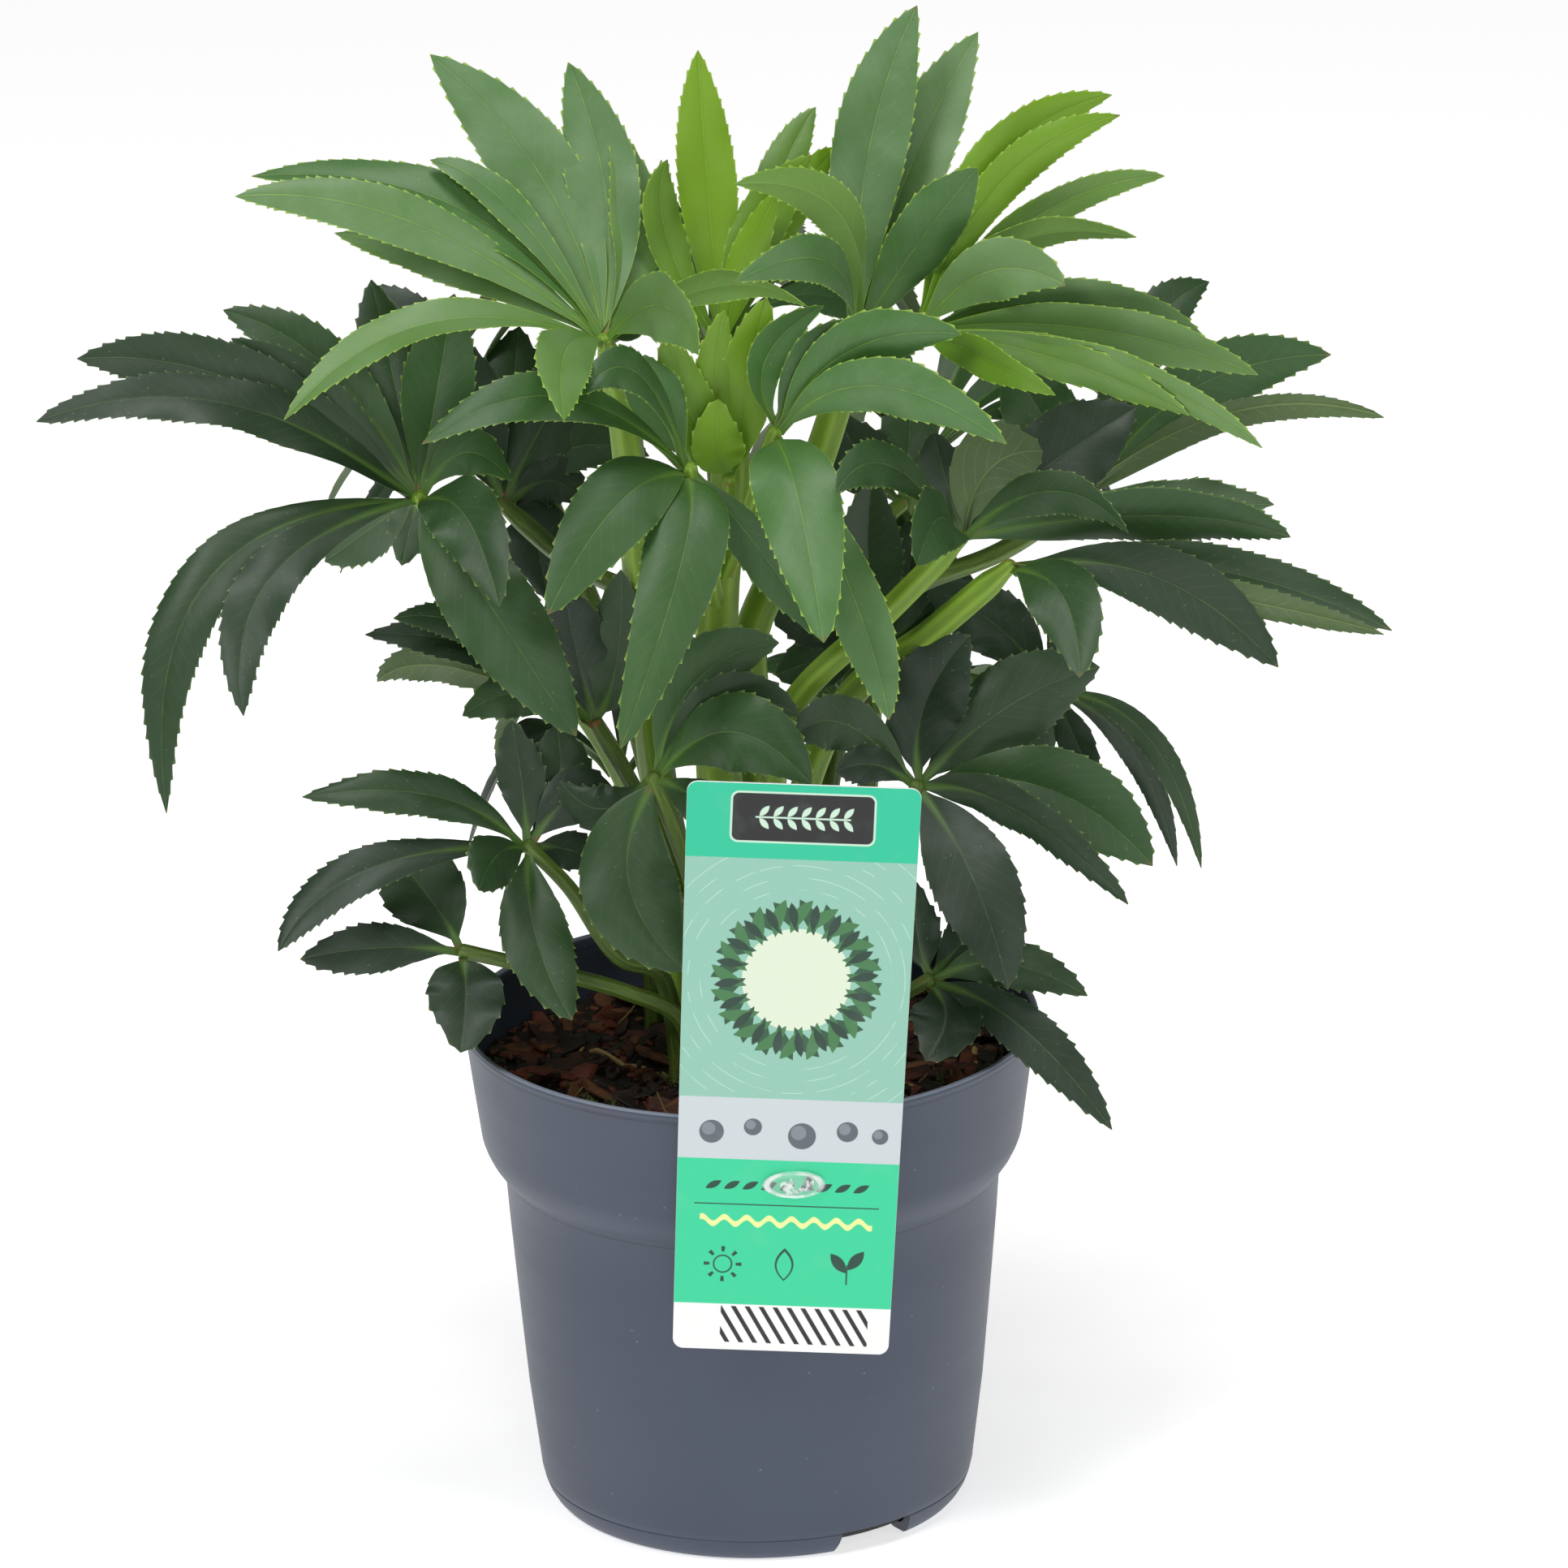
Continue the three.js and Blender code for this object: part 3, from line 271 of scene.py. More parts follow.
def colour_setting(name, description, default):
    return bpy.props.FloatVectorProperty(
        name=name, description=description, default=default, subtype="COLOR", min=0, max=1)


def length_setting(name, description, default):
    return bpy.props.FloatProperty(
        name=name, description=description, default=default, unit="LENGTH", min=0, precision=5)


def share_setting(name, description, default):
    return bpy.props.FloatProperty(
        name=name, description=description, default=default, subtype="FACTOR", min=0, max=1)


class PotSettings(bpy.types.PropertyGroup):
    colour: colour_setting("Colour", "Colour of the moulded plastic", tint(61, 70, 88))
    stain: colour_setting("Stain", "Colour of the soil that clings to the wall", tint(96, 84, 80))
    roughness: share_setting("Roughness", "How matt the plastic is", 0.46)
    height: length_setting("Height", "Height of the rim above the foot", POT_BOX[1].z)
    sides: bpy.props.IntProperty(
        name="Sides", description="Facets around the pot", default=168, min=24)


class SoilSettings(bpy.types.PropertyGroup):
    soil: colour_setting("Soil", "Colour of the damp potting soil", tint(30, 23, 18))
    bark_dark: colour_setting("Dark bark", "Colour of weathered bark", tint(30, 20, 16))
    bark_red: colour_setting("Red bark", "Colour of fresh bark", tint(104, 48, 30))
    moss: colour_setting("Moss", "Colour of the moss tufts", tint(92, 102, 42))
    chips: bpy.props.IntProperty(
        name="Chips", description="Number of bark chips on the soil", default=430, min=0)
    crumbs: bpy.props.IntProperty(
        name="Crumbs", description="Number of crumbs of soil and bark", default=1100, min=0)
    tufts: bpy.props.IntProperty(
        name="Tufts", description="Number of moss tufts", default=46, min=0)


class CardSettings(bpy.types.PropertyGroup):
    top_width: length_setting("Top width", "Width of the card at its upper edge", 0.0566)
    foot_width: length_setting("Foot width", "Width of the card at its lower edge", 0.0528)
    thickness: length_setting("Thickness", "Thickness of the card", 0.0006)
    corner: length_setting("Corner", "Radius of the card's corners", 0.0026)
    band: colour_setting("Band", "Colour of the upper band", tint(24, 198, 154))
    low_band: colour_setting("Low band", "Colour of the lower band", tint(44, 213, 156))
    field: colour_setting("Field", "Colour of the middle field", tint(146, 200, 180))
    ink: colour_setting("Ink", "Colour of the dark motifs", tint(6, 64, 50))


class LeafSettings(bpy.types.PropertyGroup):
    dark: colour_setting("Old leaf", "Upper side of an old leaf", tint(28, 46, 28))
    mid: colour_setting("Grown leaf", "Upper side of a grown leaf", tint(58, 110, 32))
    # The young colour is partly painted light: brightened as if light shone through a young leaf.
    young: colour_setting("Young leaf", "Upper side of a young leaf", tint(124, 168, 28))
    under: colour_setting("Underside", "Underside of a leaf", tint(80, 106, 50))
    tooth: colour_setting("Tooth tip", "Hard tips of the teeth", tint(196, 206, 132))
    stalk: colour_setting("Stalk", "Stems and leaf stalks", tint(126, 164, 44))
    flush: colour_setting("Flush", "Red flush where stalks and leaflets join", tint(158, 70, 48))
    thickness: length_setting("Thickness", "Thickness of a blade beside its midrib", 0.00042)
    old_tooth: length_setting("Old teeth", "Distance between the teeth of an old leaf", 0.003)
    young_tooth: length_setting("Young teeth", "Distance between the teeth of a young leaf", 0.0033)
    tooth_depth: length_setting("Tooth depth", "Depth of the teeth at the widest place", 0.00066)


class StageSettings(bpy.types.PropertyGroup):
    floor: colour_setting("Floor", "Colour of the floor", (0.93, 0.93, 0.93))
    glow: bpy.props.FloatProperty(
        name="Glow", description="Strength of the floor's own light", default=0.65, min=0)
    sky: bpy.props.FloatProperty(
        name="Sky", description="Strength of the light from all around", default=0.06, min=0)
    key: bpy.props.FloatProperty(
        name="Key", description="Power of the main light", default=22, min=0, unit="POWER")


# ---------------------------------------------------------------- materials

class Wire:
    """A socket of a material, with arithmetic that adds the Math nodes it needs."""

    def __init__(self, paint, socket):
        self.paint = paint
        self.socket = socket

    def math(self, operation, *others):
        values = dict(enumerate((self, *others)))
        return self.paint.node("ShaderNodeMath", {"operation": operation}, values)[0]

    def flipped(self, operation, other):
        return self.paint.node("ShaderNodeMath", {"operation": operation}, {0: other, 1: self})[0]

    def __add__(self, other):
        return self.math("ADD", other)

    def __sub__(self, other):
        return self.math("SUBTRACT", other)

    def __mul__(self, other):
        return self.math("MULTIPLY", other)

    def __truediv__(self, other):
        return self.math("DIVIDE", other)

    def __pow__(self, other):
        return self.math("POWER", other)

    def __gt__(self, other):
        return self.math("GREATER_THAN", other)

    def __lt__(self, other):
        return self.math("LESS_THAN", other)

    def __radd__(self, other):
        return self.flipped("ADD", other)

    def __rsub__(self, other):
        return self.flipped("SUBTRACT", other)

    def __rmul__(self, other):
        return self.flipped("MULTIPLY", other)

    def __abs__(self):
        return self.math("ABSOLUTE")

    def sine(self):
        return self.math("SINE")

    def cosine(self):
        return self.math("COSINE")

    def fraction(self):
        return self.math("FRACT")

    def least(self, other):
        return self.math("MINIMUM", other)

    def most(self, other):
        return self.math("MAXIMUM", other)

    def rise(self, low, high):
        """0 where this is low, 1 where it is high, and smooth between them."""
        return self.paint.node(
            "ShaderNodeMapRange", {"interpolation_type": "SMOOTHSTEP"},
            {"Value": self, "From Min": low, "From Max": high, "To Min": 0, "To Max": 1})[0]

    def fall(self, low, high):
        """1 where this is low, 0 where it is high, and smooth between them."""
        return 1 - self.rise(low, high)


class Paint:
    """A material while it is being made."""

    # Sockets that are picked by their number: the vector of an Attribute node, the normal and the
    # object's own place of a Texture Coordinate node, and the colours of a Mix node.
    ATTRIBUTE_VECTOR = 1
    NORMAL = 1
    OBJECT_PLACE = 3
    MIX_FIRST, MIX_SECOND, MIX_RESULT = 6, 7, 2

    def __init__(self, name):
        self.material = bpy.data.materials.new(name)
        self.material.use_nodes = True
        self.tree = self.material.node_tree
        self.tree.nodes.clear()
        self.shader = self.tree.nodes.new("ShaderNodeBsdfPrincipled")
        output = self.tree.nodes.new("ShaderNodeOutputMaterial")
        self.tree.links.new(self.shader.outputs[0], output.inputs[0])

    def node(self, kind, settings=None, inputs=None):
        """A node of a kind: its settings come first, then its sockets. Gives its output sockets."""
        made = self.tree.nodes.new(kind)
        for name, value in (settings or {}).items():
            setattr(made, name, value)
        for key, value in (inputs or {}).items():
            self.feed(made.inputs[key], value)
        return [Wire(self, socket) for socket in made.outputs]

    def feed(self, socket, value):
        if isinstance(value, Wire):
            self.tree.links.new(value.socket, socket)
        elif socket.type == "RGBA" and len(value) == 3:
            socket.default_value = (*value, 1)
        else:
            socket.default_value = value

    def finish(self, **sockets):
        """Sets the shader's own sockets, named with _ for a space."""
        for name, value in sockets.items():
            self.feed(self.shader.inputs[name.replace("_", " ")], value)
        return self.material

    def parts(self, attribute):
        """The three numbers that an attribute of the mesh holds."""
        read = self.node("ShaderNodeAttribute", {"attribute_name": attribute})
        return self.node("ShaderNodeSeparateXYZ", None, {0: read[self.ATTRIBUTE_VECTOR]})

    def place(self, stretch=(1, 1, 1)):
        """The place on the object, in metres, stretched along its axes."""
        spot = self.node("ShaderNodeTexCoord")[self.OBJECT_PLACE]
        return self.node("ShaderNodeVectorMath", {"operation": "MULTIPLY"}, {0: spot, 1: stretch})[0]

    def millimetres(self):
        """The place on the object as three numbers, in millimetres."""
        return self.node("ShaderNodeSeparateXYZ", None, {0: self.place((1 / MM, 1 / MM, 1 / MM))})

    def vector(self, x, y, z):
        return self.node("ShaderNodeCombineXYZ", None, {0: x, 1: y, 2: z})[0]

    def noise(self, vector, scale, detail=3, roughness=0.5):
        return self.node("ShaderNodeTexNoise", None, {
            "Vector": vector, "Scale": scale, "Detail": detail, "Roughness": roughness})[0]

    def cells(self, vector, scale, feature="F1"):
        """Voronoi cells: the distance to the nearest middle or edge, and a colour for each cell."""
        return self.node(
            "ShaderNodeTexVoronoi", {"feature": feature}, {"Vector": vector, "Scale": scale})

    def mix(self, share, first, second):
        """A colour between two others."""
        colours = {0: share, self.MIX_FIRST: first, self.MIX_SECOND: second}
        return self.node("ShaderNodeMix", {"data_type": "RGBA"}, colours)[self.MIX_RESULT]

    def coated(self, shade, *coats):
        """A colour with coats over it, each given as its share and its colour."""
        for share, colour in coats:
            shade = self.mix(share, shade, colour)
        return shade

    def bump(self, height, distance, strength=1.0):
        return self.node("ShaderNodeBump", None, {
            "Strength": strength, "Distance": distance, "Height": height})[0]


# ---------------------------------------------------------------- meshes

class Form:
    """Points and faces of a piece while it is being made, in millimetres. Each point also holds two
    triples that the materials read, and each face the number of its material."""

    def __init__(self):
        self.points = []
        self.faces = []
        self.kinds = []
        self.spots = []
        self.looks = []

    def add(self, points, faces, spots=None, looks=None, kind=0):
        first = len(self.points)
        self.points.extend(tuple(p) for p in points)
        self.faces.extend(tuple(first + i for i in face) for face in faces)
        self.kinds.extend([kind] * len(faces))
        nothing = [(0, 0, 0)] * len(points)
        self.spots.extend(nothing if spots is None else (tuple(s) for s in spots))
        self.looks.extend(nothing if looks is None else (tuple(s) for s in looks))

    def mesh(self, name, materials, crease=40):
        mesh = bpy.data.meshes.new(name)
        mesh.from_pydata([(x * MM, y * MM, z * MM) for x, y, z in self.points], [], self.faces)
        for material in materials:
            mesh.materials.append(material)
        mesh.polygons.foreach_set("material_index", self.kinds)
        mesh.polygons.foreach_set("use_smooth", [True] * len(self.faces))
        for label, triples in (("spot", self.spots), ("look", self.looks)):
            layer = mesh.attributes.new(label, "FLOAT_VECTOR", "POINT")
            layer.data.foreach_set("vector", np.array(triples, np.float32).ravel())
        mesh.set_sharp_from_angle(angle=math.radians(crease))
        mesh.update()
        return mesh


def put(name, mesh, slot, *nodes):
    """Stands a finished mesh in the scene, riding on the object's one body."""
    piece = bpy.data.objects.new(name, mesh)
    bpy.context.scene.collection.objects.link(piece)
    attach(piece, BODY)
    if nodes:
        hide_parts(*nodes)


def circle(radius, count):
    """Points at even turns about the middle, anticlockwise from +X."""
    turns = (2 * math.pi * i / count for i in range(count))
    return [(radius * math.cos(turn), radius * math.sin(turn)) for turn in turns]


def ring_faces(rings, around):
    """Quads between rings of equal count, each ring anticlockwise about the way ahead."""
    faces = []
    for k in range(rings - 1):
        for i in range(around):
            a = k * around + i
            b = k * around + (i + 1) % around
            faces.append((a, b, b + around, a + around))
    return faces


def closed_faces(rings, around):
    """Quads between rings of equal count, and a face over each end."""
    last = (rings - 1) * around
    ends = [tuple(range(around - 1, -1, -1)), tuple(range(last, last + around))]
    return ring_faces(rings, around) + ends


def carved(mesh, cutters):
    """The mesh with the cutters' shapes taken out of it."""
    whole = bpy.data.objects.new("whole", mesh)
    bpy.context.scene.collection.objects.link(whole)
    tools = []
    for number, cutter in enumerate(cutters):
        tool = bpy.data.objects.new(f"tool_{number}", cutter)
        bpy.context.scene.collection.objects.link(tool)
        cut = whole.modifiers.new(tool.name, "BOOLEAN")
        cut.operation = "DIFFERENCE"
        cut.solver = "EXACT"
        cut.object = tool
        tools.append(tool)
    depsgraph = bpy.context.evaluated_depsgraph_get()
    result = bpy.data.meshes.new_from_object(whole.evaluated_get(depsgraph))
    for each in (*tools, whole):
        bpy.data.objects.remove(each)
    return result


# ---------------------------------------------------------------- leaflets

# One tooth of the margin: share of its pitch, how far out the margin is in tooth depths, and how far
# it leans ahead in pitches. The last row is the hooked tip.
TOOTH = ((0, -0.3, 0), (0.5, 0.08, 0), (0.82, 0.6, 0.12))
TIP_OUT = 0.5  # a row whose margin is further out than this is a tooth's tip
TOOTHED_START = 0.255  # the share along a blade at which its teeth begin
TOOTHED_SHARE = 0.715
ROOTED = 1.9  # how far a blade begins behind its midline's start, inside the hub
PLAIN_ROWS = (0, 0.045, 0.09, 0.135, 0.18, 0.225)

# Columns of a blade from its left margin to its right one, as shares of its half width. The hems
# beside the margins and the sides of the midrib are then set in millimetres.
BLADE_COLUMNS = np.array([-1, -1, -0.78, -0.52, -0.26, 0, 0, 0, 0.26, 0.52, 0.78, 1, 1])
MARGINS = [0, 12]
HEMS = [1, 11]
RIB_SIDES = [5, 7]
MIDRIB = 6
HEM_WIDTH = 0.5
RIB_HALF = 0.55
GROOVE = 0.08
TIP_INWARD = 0.6  # how far past the margin a tooth's tip counts in its finish


def drawn_leaflet(hub, row):
    """A leaflet of the front drawing: its places in the world, its width, roll and shoulder."""
    mid_right, mid_up, tip_right, tip_up, tip_depth, width, roll, shoulder = (*row, 0)[:8]
    depth = hub[2] + tip_depth
    tip = sighted(tip_right, tip_up, depth)
    return {
        "hub": sighted(*hub),
        "middle": sighted(mid_right, mid_up, hub[2] + tip_depth * MIDDLE_DEPTH),
        "tip": tip,
        "face": (EYE - tip).normalized(),
        "bend_way": sighted(tip_right, tip_up, depth + 1) - tip,
        "width": width,
        "roll": roll,
        "shoulder": shoulder,
    }


def seeded_random(seed):
    """The same draws as the solids' fans are grown with."""
    state = seed
    while True:
        state = state * 16807 % 2147483647
        yield state / 2147483647


def fan_leaflets(leaf, draws):
    """The leaflets of a leaf behind the stems, spread about its own outward direction."""
    hub = Vector(leaf["hub"])
    leaflets = []
    for k in range(leaf["count"]):
        share = k / (leaf["count"] - 1) - 0.5
        turn = math.radians(leaf["turn"] + FAN_SPREAD * share + 8 * (next(draws) - 0.5))
        reach = leaf["reach"] * (1 - (1 - FAN_SIDE_REACH) * abs(2 * share))
        reach *= 0.92 + 0.16 * next(draws)
        out = Vector((math.cos(turn), math.sin(turn), 0))
        rise = FAN_RISE * (1 - 0.7 * abs(share)) * (0.8 + 0.4 * next(draws))
        up = Vector((0, 0, 1))
        leaflets.append({
            "hub": hub,
            "middle": hub + out * reach * 0.52 + up * rise * 0.75,
            "tip": hub + out * reach * 0.9 + up * (rise - FAN_DROOP),
            "face": (up + out * 0.35).normalized(),
            "bend_way": up,
            "width": leaf["width"] * (0.86 + 0.22 * next(draws)),
            "roll": 24 * (next(draws) - 0.5),
            "shoulder": 0,
        })
    return leaflets


def row_unit(vectors):
    """Each row scaled to a length of 1."""
    return vectors / np.linalg.norm(vectors, axis=1)[:, None]


class Midline:
    """The arched line that a blade is built on, and the side and up directions along it."""

    def __init__(self, leaflet, bend):
        self.hub = np.array(leaflet["hub"])
        self.tip = np.array(leaflet["tip"] + leaflet["bend_way"] * bend)
        middle = np.array(leaflet["middle"] + leaflet["bend_way"] * (bend * MIDDLE_BEND))
        out = (middle - self.hub) / np.linalg.norm(middle - self.hub)
        self.start = self.hub + out * BLADE_START
        self.control = 2 * middle - (self.start + self.tip) / 2
        chord = Vector(self.tip - self.hub).normalized()
        across = chord.cross(leaflet["face"]).normalized()
        self.across = np.array(Matrix.Rotation(math.radians(leaflet["roll"]), 3, chord) @ across)
        steps = self.at(np.linspace(0, 1, 25))
        self.length = float(np.linalg.norm(np.diff(steps, axis=0), axis=1).sum())

    def at(self, along):
        """Points at shares along the line."""
        t = np.asarray(along, float)[:, None]
        return (1 - t) ** 2 * self.start + 2 * t * (1 - t) * self.control + t ** 2 * self.tip

    def axes(self, along, twist=0):
        """The way ahead, the side and the up direction at shares along the line, with a twist."""
        t = np.asarray(along, float)[:, None]
        way = row_unit(2 * (1 - t) * (self.control - self.start) + 2 * t * (self.tip - self.control))
        side = row_unit(self.across - (way @ self.across)[:, None] * way)
        up = np.cross(side, way)
        turn = twist * (t - 0.3)
        return way, side * np.cos(turn) + up * np.sin(turn), up * np.cos(turn) - side * np.sin(turn)


def solid_corners(leaflet, bend):
    """Corners of the solid blade's tip ring and of its first plain ring."""
    line = Midline(leaflet, bend)
    along = [SOLID_PLAIN, 1]
    halves = [float(blade_half(SOLID_PLAIN, leaflet)), SOLID_TIP_HALF]
    _, side, up = line.axes(along)
    corners = []
    for centre, s, u, half in zip(line.at(along), side, up, halves):
        for reach, lift in ((-1, -1), (-1, 1), (1, 1), (1, -1)):
            corners.append(centre + s * reach * half + u * lift * SOLID_HALF_THICK)
    return corners


def found_bend(leaflet, tree):
    """The bend of the solid leaflet: the step whose corners the solid's own points match."""
    def matches(bend):
        return sum(tree.find(corner)[2] < SOLID_MATCH for corner in solid_corners(leaflet, bend))
    best = max(BEND_STEPS, key=matches)
    if matches(best) < 2:
        raise RuntimeError(f"no solid leaflet matches {leaflet['width']} at {tuple(leaflet['tip'])}")
    return best


def solid_points(node):
    """A search tree over a solid's points, in millimetres."""
    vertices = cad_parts[node].data.vertices
    tree = kdtree.KDTree(len(vertices))
    for index, vertex in enumerate(vertices):
        tree.insert(vertex.co / MM, index)
    tree.balance()
    return tree


def blade_half(along, leaflet):
    """Half width along a leaflet: a narrow stalk, the leafy part and a drawn-out tip."""
    share = np.clip(along, 0, 1)
    shoulder = leaflet["shoulder"]
    swell = np.maximum(np.sin(np.pi * share ** (BLADE_LEAN - 0.4 * shoulder)), 0)
    leafy = leaflet["width"] * swell ** (BLADE_FULLNESS - 0.2 * max(0, shoulder))
    return np.maximum(leafy, np.where(share < 0.5, STALK_WIDTH, TIP_WIDTH)) / 2


def blade_rows(length, spacing, draw):
    """Rows of a blade: their shares along it, the margin's reach to the left and right in tooth
    depths, how far the margin leans ahead, and whether a tooth's tip is there."""
    count = max(5, round(0.7 * length / spacing))
    edges = [TOOTHED_START + TOOTHED_SHARE * k / count for k in range(count + 1)]
    pitch = edges[1] - edges[0]
    edges = [edges[0], *(e + pitch * draw.uniform(-0.16, 0.16) for e in edges[1:-1]), edges[-1]]
    rows = [(-ROOTED / length, 0, 0, 0, 0)]
    rows += [(share, 0, 0, 0, 0) for share in PLAIN_ROWS]
    for low, high in zip(edges, edges[1:]):
        left, right = draw.uniform(0.65, 1.25), draw.uniform(0.65, 1.25)
        for step, out, ahead in TOOTH:
            rows.append((low + step * (high - low), out * left, out * right,
                         ahead * (high - low) * length, out > TIP_OUT))
    rows += [(edges[-1], -0.2, -0.2, 0, 0), (1, 0, 0, 0, 0)]
    return np.array(rows, float).T


def sheet_faces(rows, wide):
    """Faces of a closed sheet whose upper grid of points comes first, and then its lower one."""
    faces = []
    size = rows * wide
    for r in range(rows - 1):
        for c in range(wide - 1):
            a = r * wide + c
            b, d = a + 1, a + wide
            faces.append((a, b, d + 1, d))
            faces.append((size + a, size + d, size + d + 1, size + b))
        left, right = r * wide, r * wide + wide - 1
        faces.append((left, left + wide, size + left + wide, size + left))
        faces.append((right, size + right, size + right + wide, right + wide))
    for c in range(wide - 1):
        faces.append((c, size + c, size + c + 1, c + 1))
        last = size - wide + c
        faces.append((last, last + 1, size + last + 1, size + last))
    return faces


def blade_lift(along, half, across, width, draw):
    """How far each point of a blade's face stands up: a fold along the midrib that fades into a
    curl, waves that grow towards the margins, and a groove over the midrib."""
    fold = draw.uniform(0.16, 0.38) + 0.35 * np.clip(1 - along / 0.35, 0, 1)
    curl = draw.uniform(0.08, 0.42)
    waves = draw.uniform(1.5, 3.2)
    phase = draw.uniform(0, 2 * math.pi)
    reach = np.abs(across)
    rounded = np.sqrt(reach ** 2 + 0.35) - math.sqrt(0.35)
    lift = fold[:, None] * rounded - curl * reach ** 2 / np.maximum(half, 0.5)[:, None]
    lift -= 0.4 * (fold * half)[:, None]
    shake = np.sin(2 * math.pi * waves * along[:, None] + phase + np.where(across > 0, 1.9, 0))
    lift += 0.055 * width * shake * (reach / max(half.max(), 1)) ** 2
    lift[:, MIDRIB] -= np.minimum(GROOVE, 0.05 * half)
    return lift


def blade_depth(along, half, share, thickness):
    """Thickness of a blade at each of its points, with a ridge under its midrib."""
    depth = thickness * (1 - 0.62 * share ** 3) * np.minimum(1, 0.35 + half / 3)[:, None]
    stalky = np.clip(1 - along / 0.3, 0, 1)
    ridge = (0.45 + 1.0 * stalky) * np.clip(1.08 - along, 0.1, 1)
    depth[:, MIDRIB] += ridge
    depth[:, RIB_SIDES] += ridge[:, None] * 0.45
    return depth


def add_blade(form, leaflet, bend, tone, turned, draw, looks):
    """One leaflet: a thin closed sheet on the solid's own midline, with a toothed margin, a folded
    and slightly waved face, a groove over its midrib and a ridge under it."""
    line = Midline(leaflet, bend)
    if turned:
        line.across = -line.across
    spacing = (looks.old_tooth + (looks.young_tooth - looks.old_tooth) * min(1, tone * 1.3)) / MM
    spacing *= draw.uniform(0.9, 1.12)
    along, left_out, right_out, ahead, tips = blade_rows(line.length, spacing, draw)
    half = blade_half(along, leaflet)
    way, side, up = line.axes(along, draw.uniform(-0.35, 0.35))
    centre = line.at(along)

    smooth = BLADE_COLUMNS[None, :] * half[:, None]
    hem = np.maximum(half - HEM_WIDTH, 0.88 * half)
    rib = np.minimum(RIB_HALF, half * 0.3)
    smooth[:, HEMS] = np.stack([-hem, hem], axis=1)
    smooth[:, RIB_SIDES] = np.stack([-rib, rib], axis=1)
    tooth = looks.tooth_depth / MM * (1 - 0.4 * tone) * np.minimum(1, half / 3)
    tooth *= np.clip((leaflet["width"] - 4) / 8, 0.1, 1) * np.clip(along * 2, 0.6, 1.25)
    columns = smooth.copy()
    columns[:, MARGINS] += np.stack([-left_out * tooth, right_out * tooth], axis=1)
    middling = np.clip(along / 0.3, 0, 1) * np.clip((1 - along) / 0.12, 0, 1)
    lag = np.where(smooth > 0, -0.2, 0.26) * spacing * middling[:, None]
    slide = lag * (smooth / half[:, None]) ** 2
    slide[:, MARGINS] += ahead[:, None]
    slide[:, HEMS] += 0.2 * ahead[:, None]

    def grid(level):
        return (centre[:, None] + side[:, None] * columns[..., None] + up[:, None] * level[..., None]
                + way[:, None] * slide[..., None])

    rows, wide = columns.shape
    share = np.abs(smooth) / half[:, None]
    lift = blade_lift(along, half, smooth, leaflet["width"], draw)
    under = lift - blade_depth(along, half, share, looks.thickness / MM)
    points = np.concatenate([grid(lift).reshape(-1, 3), grid(under).reshape(-1, 3)])
    inward = (1 - share) * half[:, None]
    inward[:, MARGINS] -= TIP_INWARD * tips[:, None]
    spot = np.stack([np.broadcast_to(along[:, None] * line.length, columns.shape) + slide, columns,
                     inward], axis=-1).reshape(-1, 3)
    look = np.zeros((rows * wide, 3))
    look[:, 0] = min(1, max(0, tone + draw.uniform(-0.13, 0.13)))
    look[:, 2] = np.repeat(along, wide)
    beneath = look.copy()
    beneath[:, 1] = 1
    form.add(points, sheet_faces(rows, wide), np.concatenate([spot, spot]),
             np.concatenate([look, beneath]))


# ---------------------------------------------------------------- stalks

STALK_SIDES = 24
STALK_RIDGES = 6
STALK_STEP = 2.5
RIDGE_DEPTH = 0.05  # height of a ridge, as a share of the stalk's radius
SWELL_LENGTH = 9  # how far before its hub a stalk begins to swell
HUB_RADIUS = 1.9
HUB_SHARE = 0.52  # the hub's radius where a stalk is thick, as a share of the stalk's
DOME = np.array([0.4, 0.75, 1.05, 1.25])  # heights of the rings that close a stalk over its hub
DOME_HEIGHT = 1.35
BRANCH_THICK = (2.2, 2.5)
BRANCH_FLARE = 0.35
BRANCH_SAG = 0.06
THICK_STALK = 3  # a stalk of more than this radius is never as dark as an old leaf
THICK_TONE = 0.3


def spline(points):
    """Points at even steps along a centripetal Catmull-Rom line through the given ones."""
    ends = [2 * points[0] - points[1], *points, 2 * points[-1] - points[-2]]
    fine = []
    for p0, p1, p2, p3 in zip(ends, ends[1:], ends[2:], ends[3:]):
        d0, d1, d2 = (max((b - a).length, 1e-4) ** 0.5 for a, b in ((p0, p1), (p1, p2), (p2, p3)))
        t1 = ((p1 - p0) / d0 - (p2 - p0) / (d0 + d1) + (p2 - p1) / d1) * d1
        t2 = ((p2 - p1) / d1 - (p3 - p1) / (d1 + d2) + (p3 - p2) / d2) * d1
        for k in range(24):
            t = k / 24
            curved = (3 * (p2 - p1) - 2 * t1 - t2) * t ** 2 + (2 * (p1 - p2) + t1 + t2) * t ** 3
            fine.append(p1 + t1 * t + curved)
    fine.append(points[-1])
    fine = np.array([tuple(p) for p in fine])
    lengths = np.concatenate([[0], np.cumsum(np.linalg.norm(np.diff(fine, axis=0), axis=1))])
    count = max(6, round(lengths[-1] / STALK_STEP))
    even = np.linspace(0, lengths[-1], count + 1)
    return np.stack([np.interp(even, lengths, fine[:, k]) for k in range(3)], axis=1), even


def carried_frames(points):
    """Two directions across a line at each of its points, carried along it without spinning."""
    ways = row_unit(np.gradient(points, axis=0))
    first = np.cross(ways[0], (0.0, 1.0, 0.0))
    sides = [first / np.linalg.norm(first)]
    for way in ways[1:]:
        side = sides[-1] - way * (sides[-1] @ way)
        sides.append(side / np.linalg.norm(side))
    sides = np.array(sides)
    return ways, sides, np.cross(ways, sides)


